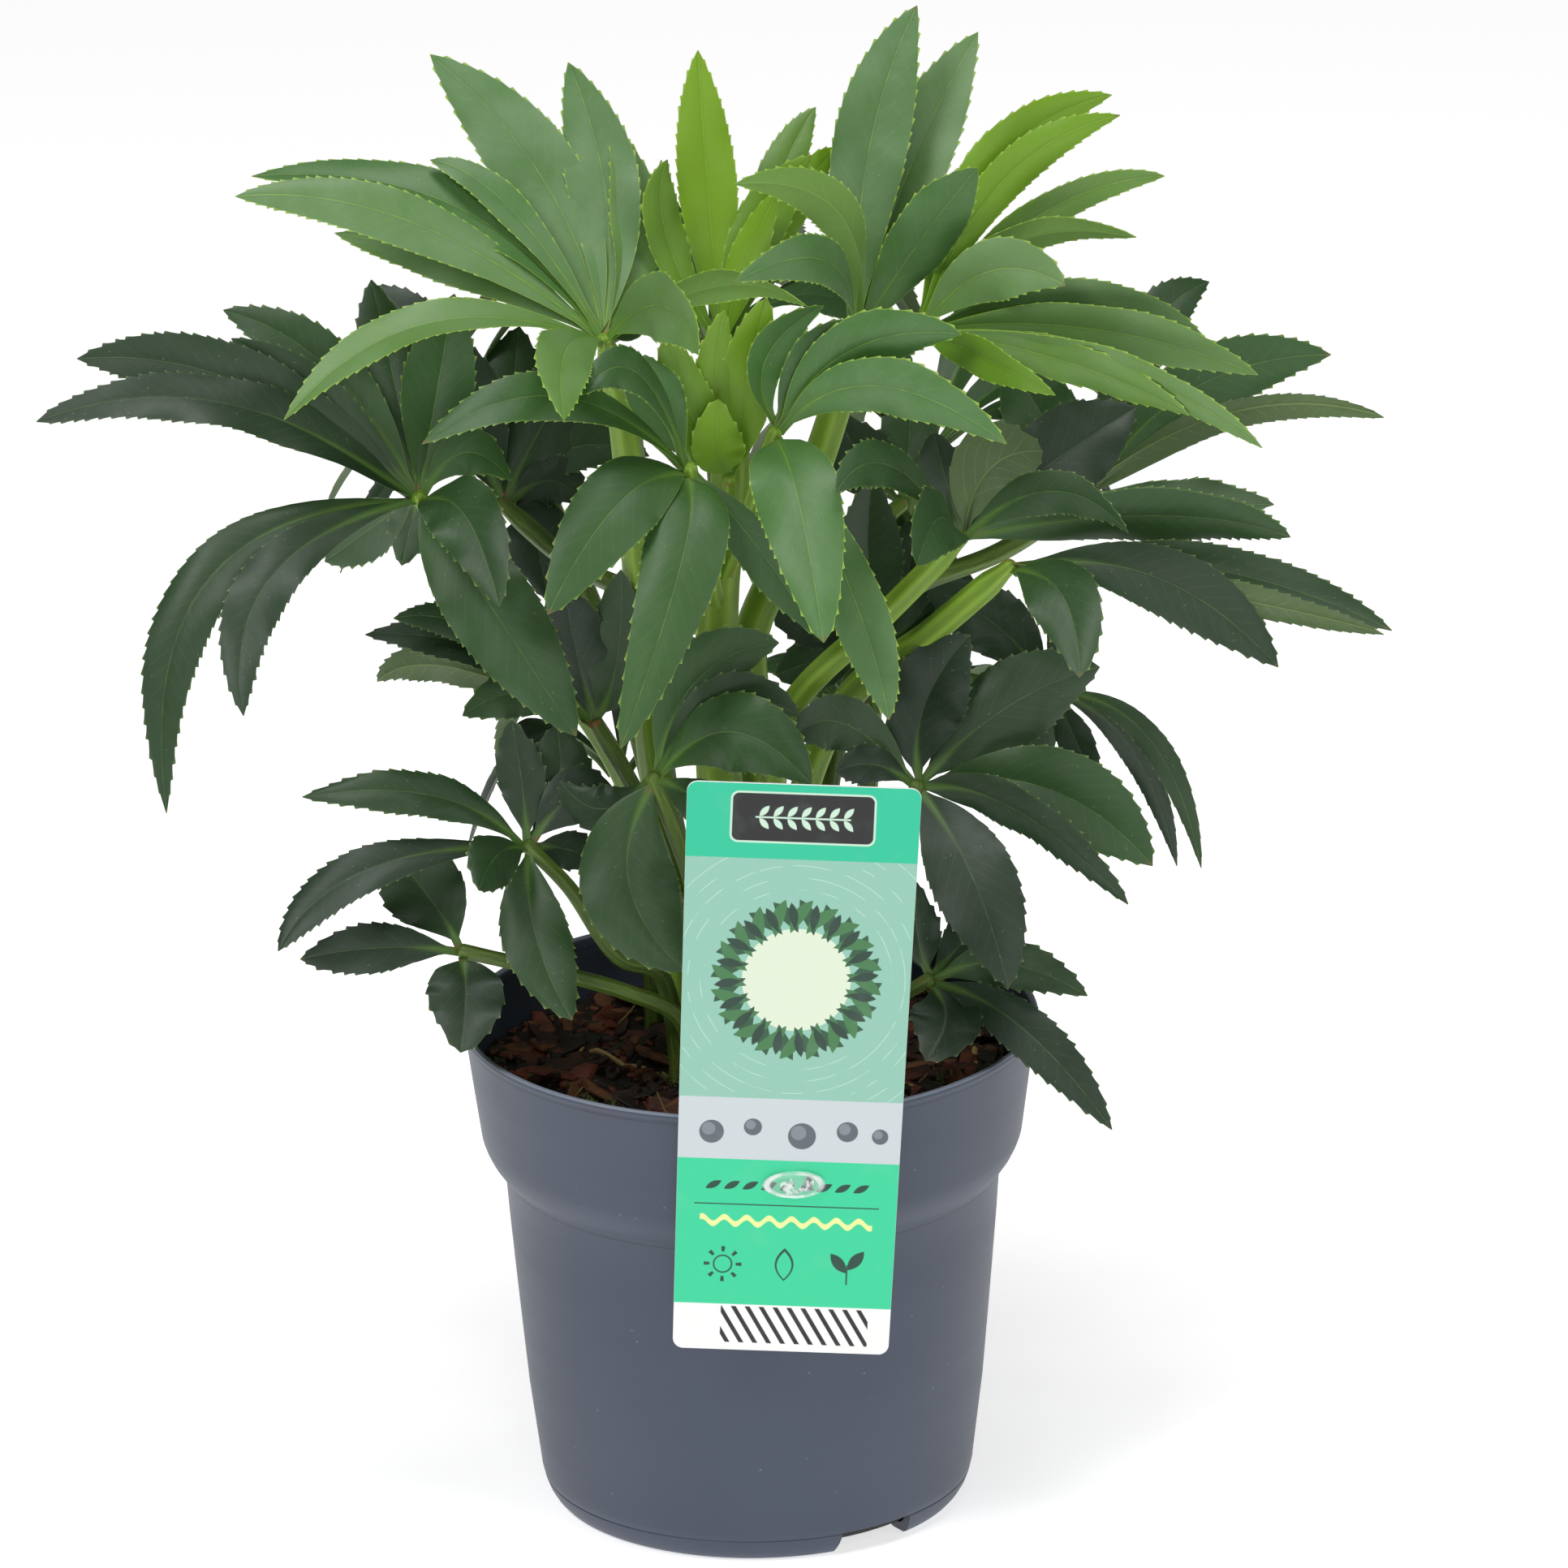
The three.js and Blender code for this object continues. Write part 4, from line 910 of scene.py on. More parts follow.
def add_stalk(form, points, radii, flare, tone, draw):
    """A ridged stalk that swells into the hub of its leaflets and closes over it in a dome."""
    line, lengths = spline(points)
    total = lengths[-1]
    ways, sides, ups = carried_frames(line)
    line = np.concatenate([line, line[-1] + DOME[:, None] * ways[-1]])
    lengths = np.concatenate([lengths, total + DOME])
    sides, ups = (np.pad(across, ((0, len(DOME)), (0, 0)), "edge") for across in (sides, ups))
    share = np.clip(lengths / total, 0, 1)
    radius = radii[0] + (radii[1] - radii[0]) * share
    swell = np.clip((lengths - total + SWELL_LENGTH) / SWELL_LENGTH, 0, 1)
    radius += (max(HUB_RADIUS, HUB_SHARE * radii[1]) - radius) * swell ** 2 * (3 - 2 * swell)
    radius *= 1 + flare * np.exp(-lengths / 5)
    closing = np.sqrt(np.clip(1 - ((lengths - total) / DOME_HEIGHT) ** 2, 0.02, 1))
    radius *= np.where(lengths > total, closing, 1)
    turn = 2 * math.pi * np.arange(STALK_SIDES) / STALK_SIDES
    twist = draw.uniform(0, 6) + draw.uniform(-0.6, 0.6) * share
    ridge = np.cos(STALK_RIDGES * turn[None, :] + twist[:, None])
    depth = RIDGE_DEPTH * (1 - 0.6 * swell) * np.where(lengths > total, 0.3, 1)
    reach = radius[:, None] * (1 + depth[:, None] * ridge)
    ring = (line[:, None] + sides[:, None] * (reach * np.cos(turn))[..., None]
            + ups[:, None] * (reach * np.sin(turn))[..., None])
    red = 0.5 * np.clip((lengths - total + 5) / 5, 0, 1) + 0.5 * np.exp(-lengths / 9)

    def triples(*layers):
        return np.stack([np.broadcast_to(layer, ridge.shape) for layer in layers], -1).reshape(-1, 3)

    form.add(ring.reshape(-1, 3), closed_faces(len(line), STALK_SIDES),
             triples(lengths[:, None], turn[None, :], ridge),
             triples(tone, red[:, None], share[:, None]), kind=1)


def stalk_foot(root):
    """The first points of a stalk: at the bottom of its hole, and just over the soil."""
    return [Vector((*root, ROOT_TOP - HOLE_DEPTH)), Vector((*root, ROOT_TOP + 6))]


def stem_lines(entry):
    """The stalks of a drawn piece, each with its radii and its flare: its own from the soil to the
    first hub, and a branch for each further leaf."""
    points = stalk_foot(entry["root"]) + [sighted(*p) for p in entry["stalk"]]
    points.append(sighted(*entry["leaves"][0]["hub"]))
    lines = [(points, entry["thick"], 0)]
    for leaf in entry["leaves"][1:]:
        start, end = sighted(*leaf["from"]), sighted(*leaf["hub"])
        sag = start.lerp(end, 0.5) - Vector((0, 0, BRANCH_SAG * (end - start).length))
        lines.append(([start, sag, end], BRANCH_THICK, BRANCH_FLARE))
    return lines


def back_line(leaf):
    """The stalk of a leaf behind the stems, with its radii and its flare."""
    x, y = leaf["root"]
    hub = Vector(leaf["hub"])
    knee = Vector((x + (hub.x - x) * 0.3, y + (hub.y - y) * 0.3, ROOT_TOP + (hub.z - ROOT_TOP) * 0.55))
    return stalk_foot(leaf["root"]) + [knee, hub], BACK_THICK, 0


def plant_piece(name, slot, lines, leaves, materials, looks):
    """One rooted piece of the plant: leaves is a list of (leaflets, tone, turned ones)."""
    draw = random.Random(name)
    form = Form()
    tree = solid_points(name)
    for (points, radii, flare), (_, tone, _) in zip(lines, leaves):
        stalk_tone = max(tone, THICK_TONE) if radii[0] > THICK_STALK else tone
        add_stalk(form, points, radii, flare, stalk_tone, draw)
    for leaflets, tone, turned in leaves:
        for number, leaflet in enumerate(leaflets):
            bend = found_bend(leaflet, tree)
            add_blade(form, leaflet, bend, tone, number in turned, draw, looks)
    put(name + "_foliage", form.mesh(name, materials, crease=55), slot, name)


VEIN_PITCH = 4.6  # millimetres between the side veins


def blade_material(looks):
    """Leathery upper sides, bluish when old and yellow-green when young, with a fine midrib, faint
    side veins, pale specks and a thin margin whose teeth end in hard pale tips. Painted light too:
    the greyish bloom is partly a painted satin sheen, the young colour is partly painted light
    shining through the leaf, and a painted shade lies beside the midrib."""
    paint = Paint("leaf_blade")
    along, across, edge = paint.parts("spot")
    tone, under, share = paint.parts("look")
    place = paint.place()
    cloud = paint.noise(place, 60, 3)
    patch = paint.noise(place, 210, 3, 0.6)
    grain = paint.noise(place, 1400, 2)
    reach = abs(across)

    # The leafy colour: by age, a greyish waxy bloom in clouds that is partly a painted satin sheen, and
    # paler towards the hub.
    bloom_and_sheen = paint.mix(tone.rise(0, 0.6), tint(56, 84, 60), tint(124, 154, 114))
    bloom_and_sheen_share = 0.2 * tone.fall(0.7, 0.85) + 0.5 * tone.rise(0.42, 0.6) * tone.fall(0.66, 0.82)
    heart = share.fall(0.05, 0.5) * (reach + share * 2.5).fall(0.3, 1.7)
    shade = paint.coated(
        paint.mix(tone.rise(0, 0.55), looks.dark, looks.mid),
        # The young colour is partly painted light shining through the leaf.
        (tone.rise(0.5, 1), looks.young),
        (cloud.rise(-0.2, 0.9) * bloom_and_sheen_share, bloom_and_sheen),
        (patch.rise(0.4, 0.8) * bloom_and_sheen_share * 0.3, bloom_and_sheen),
        (share.fall(0.04, 0.4) * tone * 0.35, tint(92, 144, 34)),
        (heart * 0.5, tint(108, 150, 56)),
    )

    # The veins, a painted shade beside the midrib, and the pale specks.
    lean = along - reach * 1.25 - reach * reach * 0.02 + patch * 1.6 + (across > 0) * 2.1
    run = (lean / VEIN_PITCH).fraction() - 0.5
    side_vein = (abs(run) * VEIN_PITCH).fall(0.02, 0.5) * edge.rise(0.6, 3.4) * reach.rise(0.1, 0.6)
    net = paint.cells(place, 420, "DISTANCE_TO_EDGE")[0].fall(0.0, 0.12) * reach.rise(0.3, 1.2)
    midrib = (reach + share * 0.05).fall(0.04, 0.22)
    vein = paint.mix(tone.rise(0, 0.7), tint(84, 116, 58), tint(150, 190, 56))
    dots = paint.cells(place, 430)[0].fall(0.05, 0.12) * (paint.noise(place, 150, 1) > 0.5)
    shade = paint.coated(
        shade,
        ((side_vein * (0.1 - 0.05 * tone) + net * 0.02).least(1), vein),
        # Darker beside the midrib: painted shade in its groove.
        (reach.fall(0.2, 0.9) * 0.08, tint(30, 58, 26)),
        (midrib * (patch.rise(0.35, 0.65) * 0.45 + 0.25), vein),
        (dots * 0.18, tint(176, 192, 148)),
    )

    below = paint.coated(
        paint.mix(cloud, looks.under, tint(88, 108, 76)),
        (tone.rise(0.1, 0.5) * 0.8, tint(108, 152, 58)),
        ((side_vein * 0.2 + net * 0.06).least(1), tint(138, 158, 88)),
        (midrib * 0.6, tint(146, 168, 82)),
    )
    margin = paint.mix(tone.rise(0, 0.5), tint(96, 126, 62), tint(160, 196, 62))
    shade = paint.coated(
        paint.mix(under, shade, below),
        (edge.fall(0.0, 0.2) * (0.2 + 0.5 * tone.rise(0.05, 0.5)), margin),
        (edge.fall(-0.56, -0.3) * (0.5 + 0.4 * tone.rise(0, 0.4)), looks.tooth),
        (share.fall(0.0, 0.03) * patch.rise(0.56, 0.66) * 0.6, looks.flush),
        (share.rise(0.97, 1.0) * patch.rise(0.5, 0.6) * 0.7, tint(120, 96, 50)),
    )

    way_up = 1 - under * 2
    relief = (side_vein * -0.06 - midrib * 0.25) * way_up + patch * 0.6 + grain * 0.08
    return paint.finish(
        Base_Color=shade,
        Roughness=0.4 + 0.14 * patch + 0.14 * under,
        Normal=paint.bump(relief, 0.0002, 0.7),
    )


def stalk_material(looks):
    """Juicy green stalks with red flecks at their joints, lighter along their ridges as a painted
    highlight and darker in their grooves as painted shade.
    """
    paint = Paint("leaf_stalk")
    along, turn, ridge = paint.parts("spot")
    tone, red, _ = paint.parts("look")
    place = paint.place()
    fibres = paint.vector(along * 0.06, turn.sine() * 2.2, turn.cosine() * 2.2)
    streak = paint.noise(fibres, 3.2, 4, 0.6)
    blush = red * paint.noise(place, 300, 3).rise(0.58, 0.66)
    specks = paint.cells(place, 1100)[0].fall(0.16, 0.34) * paint.noise(place, 120, 2).rise(0.56, 0.66)
    shade = paint.coated(
        # Painted shade: darker green in the grooves, lighter on the ridges.
        paint.mix(ridge.rise(-0.8, 0.9), tint(104, 138, 34), looks.stalk),
        # Painted highlight along the ridges.
        (ridge.rise(0.4, 1) * (0.1 + 0.35 * tone), tint(172, 198, 104)),
        (tone * 0.35, tint(156, 196, 60)),
        (tone.fall(0.1, 0.3) * 0.75, tint(62, 82, 36)),
        (streak.rise(0.45, 0.75) * 0.35, tint(150, 178, 76)),
        (blush.least(0.75), looks.flush),
        (specks * red * 0.5, tint(120, 44, 44)),
    )
    relief = streak * 0.6 + ridge * 0.3 + paint.noise(place, 900, 2) * 0.2
    return paint.finish(
        Base_Color=shade,
        Roughness=0.4 + 0.14 * streak,
        Normal=paint.bump(relief, 0.0003, 0.7),
    )


# ---------------------------------------------------------------- pot

# Outline of the shell as (radius, height): up the outside, over the lip and down the inside.
SHELL = [
    (0, 1.2), (34, 1.2), (43.6, 1.1), (44.4, 0.3), (45.2, 0), (49.4, 0), (50.6, 0.55), (51.6, 1.7),
    (52.6, 3.4), (53.25, 5.2), (53.42, 5.8), (53.3, 6.0), (53.5, 6.2), (53.95, 8), (54.3, 11),
    (56.7, 30), (58.35, 48), (59.4, 60), (60.6, 74), (61.5, 86.2), (61.75, 86.75), (62.4, 87.5),
    (63.9, 89.3), (65.2, 91.2), (66.3, 93.4), (66.95, 95.2), (67.15, 96.0), (67.5, 98.5),
    (69.2, 111), (70.7, 122.6), (70.85, 123.4), (71.25, 123.7), (71.5, 124.2), (71.5, 124.9),
    (71.25, 125.35), (70.8, 125.5), (70.2, 125.4), (69.8, 125.05), (69.5, 124.2), (69.2, 121),
    (67.8, 110.5), (65.85, 96.4), (64.6, 92.6), (62.6, 89.6), (60.5, 87.6), (60.2, 86.6),
    (58.2, 60), (55.4, 30), (52.9, 9), (51.6, 5.4), (49.4, 2.9), (48, 2.2), (0, 2.2)]
RIM_HEIGHT = max(height for _, height in SHELL)
LIP_HIGHLIGHT = 124.8  # heights of the painted highlight on top of the lip, the painted lines of shade, and the soil's stain
LIP_SHADE_LINE = 122.7
STEP_SHADE_LINE = 86.3
STAIN_FROM = 110
CHANNEL_TURNS = (-56, 124)
CHANNEL_FROM = 26  # radii between which the drainage channels are cut
CHANNEL_TO = 90
CHANNEL_WIDTH = 20
CHANNEL_HEIGHT = 6.2
CHANNEL_SLANT = 1.2
DRAIN_RING = 34
DRAIN_RADIUS = 3.5
DRAIN_COUNT = 8
DRAIN_SIDES = 28
UNDER_POT = -3  # heights between which the drain holes are cut
OVER_FLOOR = 8


def turned_mesh(outline, sides):
    """A closed shell turned about +Z. The outline starts and ends on the axis."""
    form = Form()
    rings = outline[1:-1]
    points = [(x, y, height) for radius, height in rings for x, y in circle(radius, sides)]
    faces = ring_faces(len(rings), sides)
    low, high = len(points), len(points) + 1
    points += [(0, 0, outline[0][1]), (0, 0, outline[-1][1])]
    last = (len(rings) - 1) * sides
    for i in range(sides):
        j = (i + 1) % sides
        faces.append((low, j, i))
        faces.append((high, last + i, last + j))
    form.add(points, faces)
    return form.mesh("turned", [])


def channel_mesh(turn):
    """The space of a drainage channel, narrower at its roof, turned in degrees about +Z."""
    form = Form()
    spin = Matrix.Rotation(math.radians(turn), 3, "Z")
    points = []
    for height, inset in ((-2, 0), (CHANNEL_HEIGHT, CHANNEL_SLANT)):
        near, half = CHANNEL_FROM + inset, CHANNEL_WIDTH / 2 + CHANNEL_SLANT - inset
        points += [spin @ Vector((x, y, height)) for x, y in (
            (near, -half), (CHANNEL_TO, -half), (CHANNEL_TO, half), (near, half))]
    form.add(points, closed_faces(2, 4))
    return form.mesh("channel", [])


def drain_mesh(turn):
    """The space of a drain hole, at a turn in radians about +Z."""
    form = Form()
    x, y = DRAIN_RING * math.cos(turn), DRAIN_RING * math.sin(turn)
    points = [(x + dx, y + dy, height) for height in (UNDER_POT, OVER_FLOOR)
              for dx, dy in circle(DRAIN_RADIUS, DRAIN_SIDES)]
    form.add(points, closed_faces(2, DRAIN_SIDES))
    return form.mesh("drain", [])


def pot_material(pot):
    """Satin plastic with faint flow marks, fine scratches, dust and a soil stain under the rim, a
    painted highlight on top of the lip, painted lines of shade under the lip and the collar, and
    darker, less blue patches on the inner wall.
    """
    paint = Paint("pot_plastic")
    place = paint.place()
    broad = paint.noise(place, 16, 3)
    flow = paint.noise(paint.place((1, 1, 7)), 24, 4, 0.6)
    grain = paint.noise(place, 1400, 2)
    z = paint.millimetres()[2]
    facing = paint.node("ShaderNodeTexCoord")[paint.NORMAL]
    outward = paint.node("ShaderNodeVectorMath", {"operation": "DOT_PRODUCT"}, {
        0: facing, 1: paint.place((1, 1, 0))})[1]
    scratch = paint.noise(paint.place((3, 3, 40)), 42, 5, 0.7).rise(0.66, 0.76)
    scratch = scratch * paint.noise(place, 22, 2).rise(0.5, 0.7)
    dust = paint.cells(place, 170)[0].fall(0.03, 0.075) * (paint.noise(place, 40, 1) > 0.54)
    smear = paint.noise(place, 60, 4, 0.65).rise(0.56, 0.74)
    stain = (z - STAIN_FROM).rise(0, 14) * smear + z.fall(2, 16) * smear * 0.6
    # Painted shade: thin dark lines under the lip and under the collar's step.
    shade_lines = abs(z - LIP_SHADE_LINE).fall(0.1, 0.45) + abs(z - STEP_SHADE_LINE).fall(0.15, 0.5)
    # Darker, less blue patches over the inner wall, where its faces look inward.
    inner_patches = (outward < 0) * paint.noise(place, 90, 3).rise(0.3, 0.7)
    shade = paint.coated(
        pot.colour,
        (broad.rise(0.3, 0.7) * 0.3, tint(74, 83, 101)),
        (flow.rise(0.5, 0.8) * 0.25, tint(66, 73, 88)),
        (scratch * 0.35, tint(150, 156, 166)),
        (dust * 0.22, tint(168, 172, 178)),
        (stain * 0.22, pot.stain),
        # Painted highlight along the top of the lip.
        ((z - LIP_HIGHLIGHT).rise(0, 0.4) * 0.7, tint(150, 158, 174)),
        # The painted lines of shade.
        (shade_lines.least(1) * 0.55, tint(40, 44, 54)),
        (inner_patches * 0.5, tint(60, 56, 58)),
    )
    return paint.finish(
        Base_Color=shade,
        Roughness=pot.roughness + 0.1 * (flow - 0.5) + 0.08 * dust + 0.1 * stain,
        Normal=paint.bump(grain * 0.25 + flow * 0.5 + scratch * -0.3, 0.00025, 0.6),
    )


# ---------------------------------------------------------------- soil

# Outline of the root ball as (radius, height), from its underside to where its crumbly top begins.
ROOT_BALL = [(48, 2.6), (51.2, 5.8), (52.4, 9.2), (55, 30), (57.8, 60), (59.8, 87), (62.2, 90.2),
             (64.2, 93.4), (65.4, 96.6), (67.3, 110.2)]
SOIL_RADIUS = 67.3
SOIL_RINGS = 74
SOIL_SIDES = 200
CHIP_LIMIT = 67  # radius that the ends of the chips stay inside
MOSS_TURN = -128  # degrees about +Z to the mossy side
MOSS_SHARE = 0.7  # share of the tufts that grow there
STRAWS = 26
STRAW_LIMIT = 65


def soil_height(x, y):
    """Height of the crumbly top at a place, in millimetres."""
    radius = math.hypot(x, y)
    lift = 4 * math.exp(-((radius / 34) ** 2))
    lift += 0.9 * (math.sin(x * 0.31 + 1.3) * math.cos(y * 0.27) + math.sin(x * 0.13 - y * 0.19))
    lift += 1.5 * noise.noise(Vector((x, y, 0)) * 0.12) + 0.9 * noise.noise(Vector((x, y, 7)) * 0.4)
    lift += 0.35 * noise.noise(Vector((x, y, 3)) * 1.1)
    settle = min(1, max(0, (SOIL_RADIUS - radius) / 5))
    return SOIL_LEVEL - 0.8 + lift * settle


def root_ball_form():
    """The root ball: plain rings up its side, then the crumbly top down to its middle."""
    form = Form()
    points = [(x, y, height) for radius, height in ROOT_BALL for x, y in circle(radius, SOIL_SIDES)]
    for k in range(SOIL_RINGS):
        radius = SOIL_RADIUS * (1 - k / SOIL_RINGS)
        points += [(x, y, soil_height(x, y)) for x, y in circle(radius, SOIL_SIDES)]
    rings = len(ROOT_BALL) + SOIL_RINGS
    faces = ring_faces(rings, SOIL_SIDES)
    faces.append(tuple(range(SOIL_SIDES - 1, -1, -1)))
    last = (rings - 1) * SOIL_SIDES
    faces += [(last + i, last + (i + 1) % SOIL_SIDES, len(points)) for i in range(SOIL_SIDES)]
    form.add([*points, (0, 0, soil_height(0, 0))], faces)
    return form


def stalk_roots():
    """Where stalks enter the soil, and how much room each takes."""
    roots = [(entry["root"], entry["thick"][0]) for entry in PLANT]
    return roots + [(leaf["root"], BACK_THICK[0]) for leaf in BACK_LEAVES]


def scattered(draw, radius):
    """A random place on a disc: its radius and its X and Y."""
    far = radius * math.sqrt(draw.random())
    turn = draw.uniform(0, 2 * math.pi)
    return far, far * math.cos(turn), far * math.sin(turn)


def bark_slab(form, middle, length, width, thick, draw, tone):
    """One bark chip: a torn slab with a ragged outline, bevelled, laid on the soil at a tilt."""
    count = draw.choice((6, 7, 8))
    turns = [2 * math.pi * (k + draw.uniform(-0.3, 0.3)) / count for k in range(count)]
    reach = [draw.uniform(0.72, 1.12) for _ in turns]
    lean = Matrix.Rotation(draw.uniform(0, 2 * math.pi), 3, "Z") @ Matrix.Rotation(
        draw.gauss(0, 0.3), 3, "X") @ Matrix.Rotation(draw.gauss(0, 0.24), 3, "Y")

    def squarish(value):
        return math.copysign(abs(value) ** 0.75, value)

    points = []
    bow = draw.uniform(-0.12, 0.16)
    for level, share in ((-0.5, 0.86), (-0.16, 1.0), (0.2, 0.97), (0.5, 0.8)):
        for turn, far in zip(turns, reach):
            jag = 1 + draw.uniform(-0.07, 0.07)
            px = squarish(math.cos(turn)) * length / 2 * far * share * jag
            py = squarish(math.sin(turn)) * width / 2 * far * share * jag
            pz = level * thick + draw.uniform(-0.12, 0.12) * thick - bow * px * px / length
            points.append(middle + lean @ Vector((px, py, pz)))
    look = (tone, draw.random(), 0)
    form.add(points, closed_faces(4, count), None, [look] * len(points))


def bark_form(soil):
    """Bark chips that leave the stalks room, and crumbs all over the soil."""
    draw = random.Random(5)
    form = Form()
    roots = stalk_roots()
    for _ in range(soil.chips):
        radius, x, y = scattered(draw, 63.5)
        length, width = draw.uniform(6, 20), draw.uniform(2.6, 8)
        if radius + length / 2 > CHIP_LIMIT or any(
                math.hypot(x - rx, y - ry) < room + width / 2 for (rx, ry), room in roots):
            continue
        tone = draw.random() ** 1.6
        middle = Vector((x, y, soil_height(x, y) + draw.uniform(0.2, 2.4)))
        bark_slab(form, middle, length, width, draw.uniform(0.8, 2.3), draw, tone)
    for _ in range(soil.crumbs):
        _, x, y = scattered(draw, 66)
        size = draw.uniform(1.2, 4.6)
        middle = Vector((x, y, soil_height(x, y) + draw.uniform(0.2, 2.6)))
        width, tone = size * draw.uniform(0.3, 0.8), draw.random() ** 2.4
        bark_slab(form, middle, size, width, size * 0.28, draw, tone)
    return form


def add_sliver(form, line, widths, look):
    """A thin closed spar of diamond section along points."""
    line = np.array(line, float)
    _, sides, ups = carried_frames(line)
    rings = []
    for centre, side, up, width in zip(line, sides, ups, widths):
        side, up = side * width, up * width * 0.5
        rings += [centre + side, centre + up, centre - side, centre - up]
    form.add(rings, closed_faces(len(line), 4), None, [look] * len(rings))


def moss_form(soil):
    """Tufts of moss near the front left of the rim, and a few elsewhere."""
    draw = random.Random(21)
    form = Form()
    for number in range(soil.tufts):
        if number < soil.tufts * MOSS_SHARE:
            turn, radius = math.radians(draw.gauss(MOSS_TURN, 16)), draw.uniform(44, 62)
        else:
            turn, radius = draw.uniform(0, 2 * math.pi), draw.uniform(20, 62)
        x, y = radius * math.cos(turn), radius * math.sin(turn)
        z = soil_height(x, y) + 0.8
        tone = draw.random()
        for _ in range(draw.randint(12, 22)):
            heading = draw.uniform(0, 2 * math.pi)
            slope = draw.uniform(0.15, 0.95)
            length = draw.uniform(1.6, 4.2)
            out = np.array([math.cos(heading) * slope, math.sin(heading) * slope, 1 - 0.4 * slope])
            base = np.array([x + draw.gauss(0, 1.6), y + draw.gauss(0, 1.6), z])
            droop = np.array([0, 0, -0.48 * slope * length])
            line = [base + out * length * s + droop * s * s for s in (0, 0.35, 0.7, 1)]
            width = draw.uniform(0.3, 0.55)
            widths = (width, width * 1.1, width * 0.7, 0.1)
            add_sliver(form, line, widths, (tone, draw.random(), 0))
    return form


def straw_form():
    """Dry bits of straw and twig that lie on the bark."""
    draw = random.Random(12)
    form = Form()
    for _ in range(STRAWS):
        _, x, y = scattered(draw, 56)
        heading = draw.uniform(0, math.pi)
        length = draw.uniform(8, 26)
        bow = draw.uniform(-0.08, 0.08) * length * 4
        line = []
        for s in np.linspace(-0.5, 0.5, 7):
            px = x + math.cos(heading) * length * s - math.sin(heading) * bow * s * s
            py = y + math.sin(heading) * length * s + math.cos(heading) * bow * s * s
            if math.hypot(px, py) < STRAW_LIMIT:
                line.append((px, py, soil_height(px, py) + 2.6 + 0.6 * math.sin(5 * s)))
        if len(line) > 3:
            width = draw.uniform(0.35, 0.8)
            widths = (width * 0.7, *[width] * (len(line) - 2), width * 0.6)
            add_sliver(form, line, widths, (draw.random(), 0, 0))
    return form


def soil_material(soil):
    """Damp crumbly soil with pale crumbs and patches of moss."""
    paint = Paint("potting_soil")
    place = paint.place()
    lump = paint.noise(place, 240, 5, 0.65)
    fine = paint.noise(place, 1300, 3, 0.6)
    moss = paint.noise(place, 52, 3).rise(0.58, 0.7) * fine.rise(0.4, 0.6)
    shade = paint.coated(
        paint.mix(lump.rise(0.35, 0.65), tint(19, 14, 12), soil.soil),
        (fine.rise(0.55, 0.75) * 0.5, tint(74, 48, 32)),
        (moss * 0.45, tint(82, 84, 34)),
    )
    return paint.finish(
        Base_Color=shade,
        Roughness=0.72 + 0.2 * fine,
        Normal=paint.bump(lump * 0.8 + fine * 0.5, 0.0012, 0.9),
    )


def bark_material(soil):
    """Bark in many shades, from black-brown to orange, with grain along its surface."""
    paint = Paint("bark_chips")
    tone, other, _ = paint.parts("look")
    place = paint.place()
    grain = paint.noise(paint.place((1, 1, 3.5)), 330, 5, 0.7)
    blotch = paint.noise(place, 130, 3)
    shade = paint.coated(
        paint.mix(tone.rise(0.05, 0.95), soil.bark_dark, soil.bark_red),
        ((other > 0.86) * 0.7, tint(126, 78, 44)),
        (blotch.rise(0.42, 0.7) * 0.6, tint(28, 19, 15)),
        (grain.rise(0.52, 0.8) * 0.4, tint(116, 72, 48)),
        (paint.noise(place, 60, 3).rise(0.58, 0.72) * 0.4, tint(62, 66, 32)),
    )
    return paint.finish(
        Base_Color=shade,
        Roughness=0.36 + 0.4 * grain,
        Normal=paint.bump(grain + blotch * 0.5, 0.0007, 0.9),
    )


def sliver_material(name, low, high):
    """A dry or mossy finish that varies from sliver to sliver between two colours."""
    paint = Paint(name)
    tone = paint.parts("look")[0]
    fleck = paint.noise(paint.place(), 900, 2)
    shade = paint.mix((tone * 0.7 + fleck * 0.5).least(1), low, high)
    return paint.finish(Base_Color=shade, Roughness=0.6 + 0.2 * fleck,
                        Normal=paint.bump(fleck, 0.0003, 0.5))


# ---------------------------------------------------------------- card and clip

CARD_FRONT = -74  # depth of the printed face
CARD_TOP = sighted(12.3, 193, CARD_FRONT)
CARD_FOOT = sighted(6.3, 53.4, CARD_FRONT)
CARD_LENGTH = (CARD_TOP - CARD_FOOT).length
CARD_LEAN = math.atan2(CARD_TOP.x - CARD_FOOT.x, CARD_TOP.z - CARD_FOOT.z)
CARD_BEVEL = 0.12

# The print's bands and motifs, as heights above the card's foot, and its pebbles, each as how far
# right and how high it is, and its radius.
FOOT_BAND = 12
SUN_UP = 22.5
WAVE_UP = 33.9
RULE_UP = 38.2
LEAFY_ROW = 43.2
LOW_BAND = 50
PEBBLES = ((-19, 57, 3.0), (-9, 58.5, 2.2), (3, 56.5, 3.4), (14, 58, 2.6), (22, 57, 2.0))
PEBBLE_BAND = 66
WREATH_UP = 97
WREATH_RADIUS = 16.5
WREATH_LEAVES = 20  # in each of its rings
FIELD_TOP = 128
PANEL_UP = 138.6

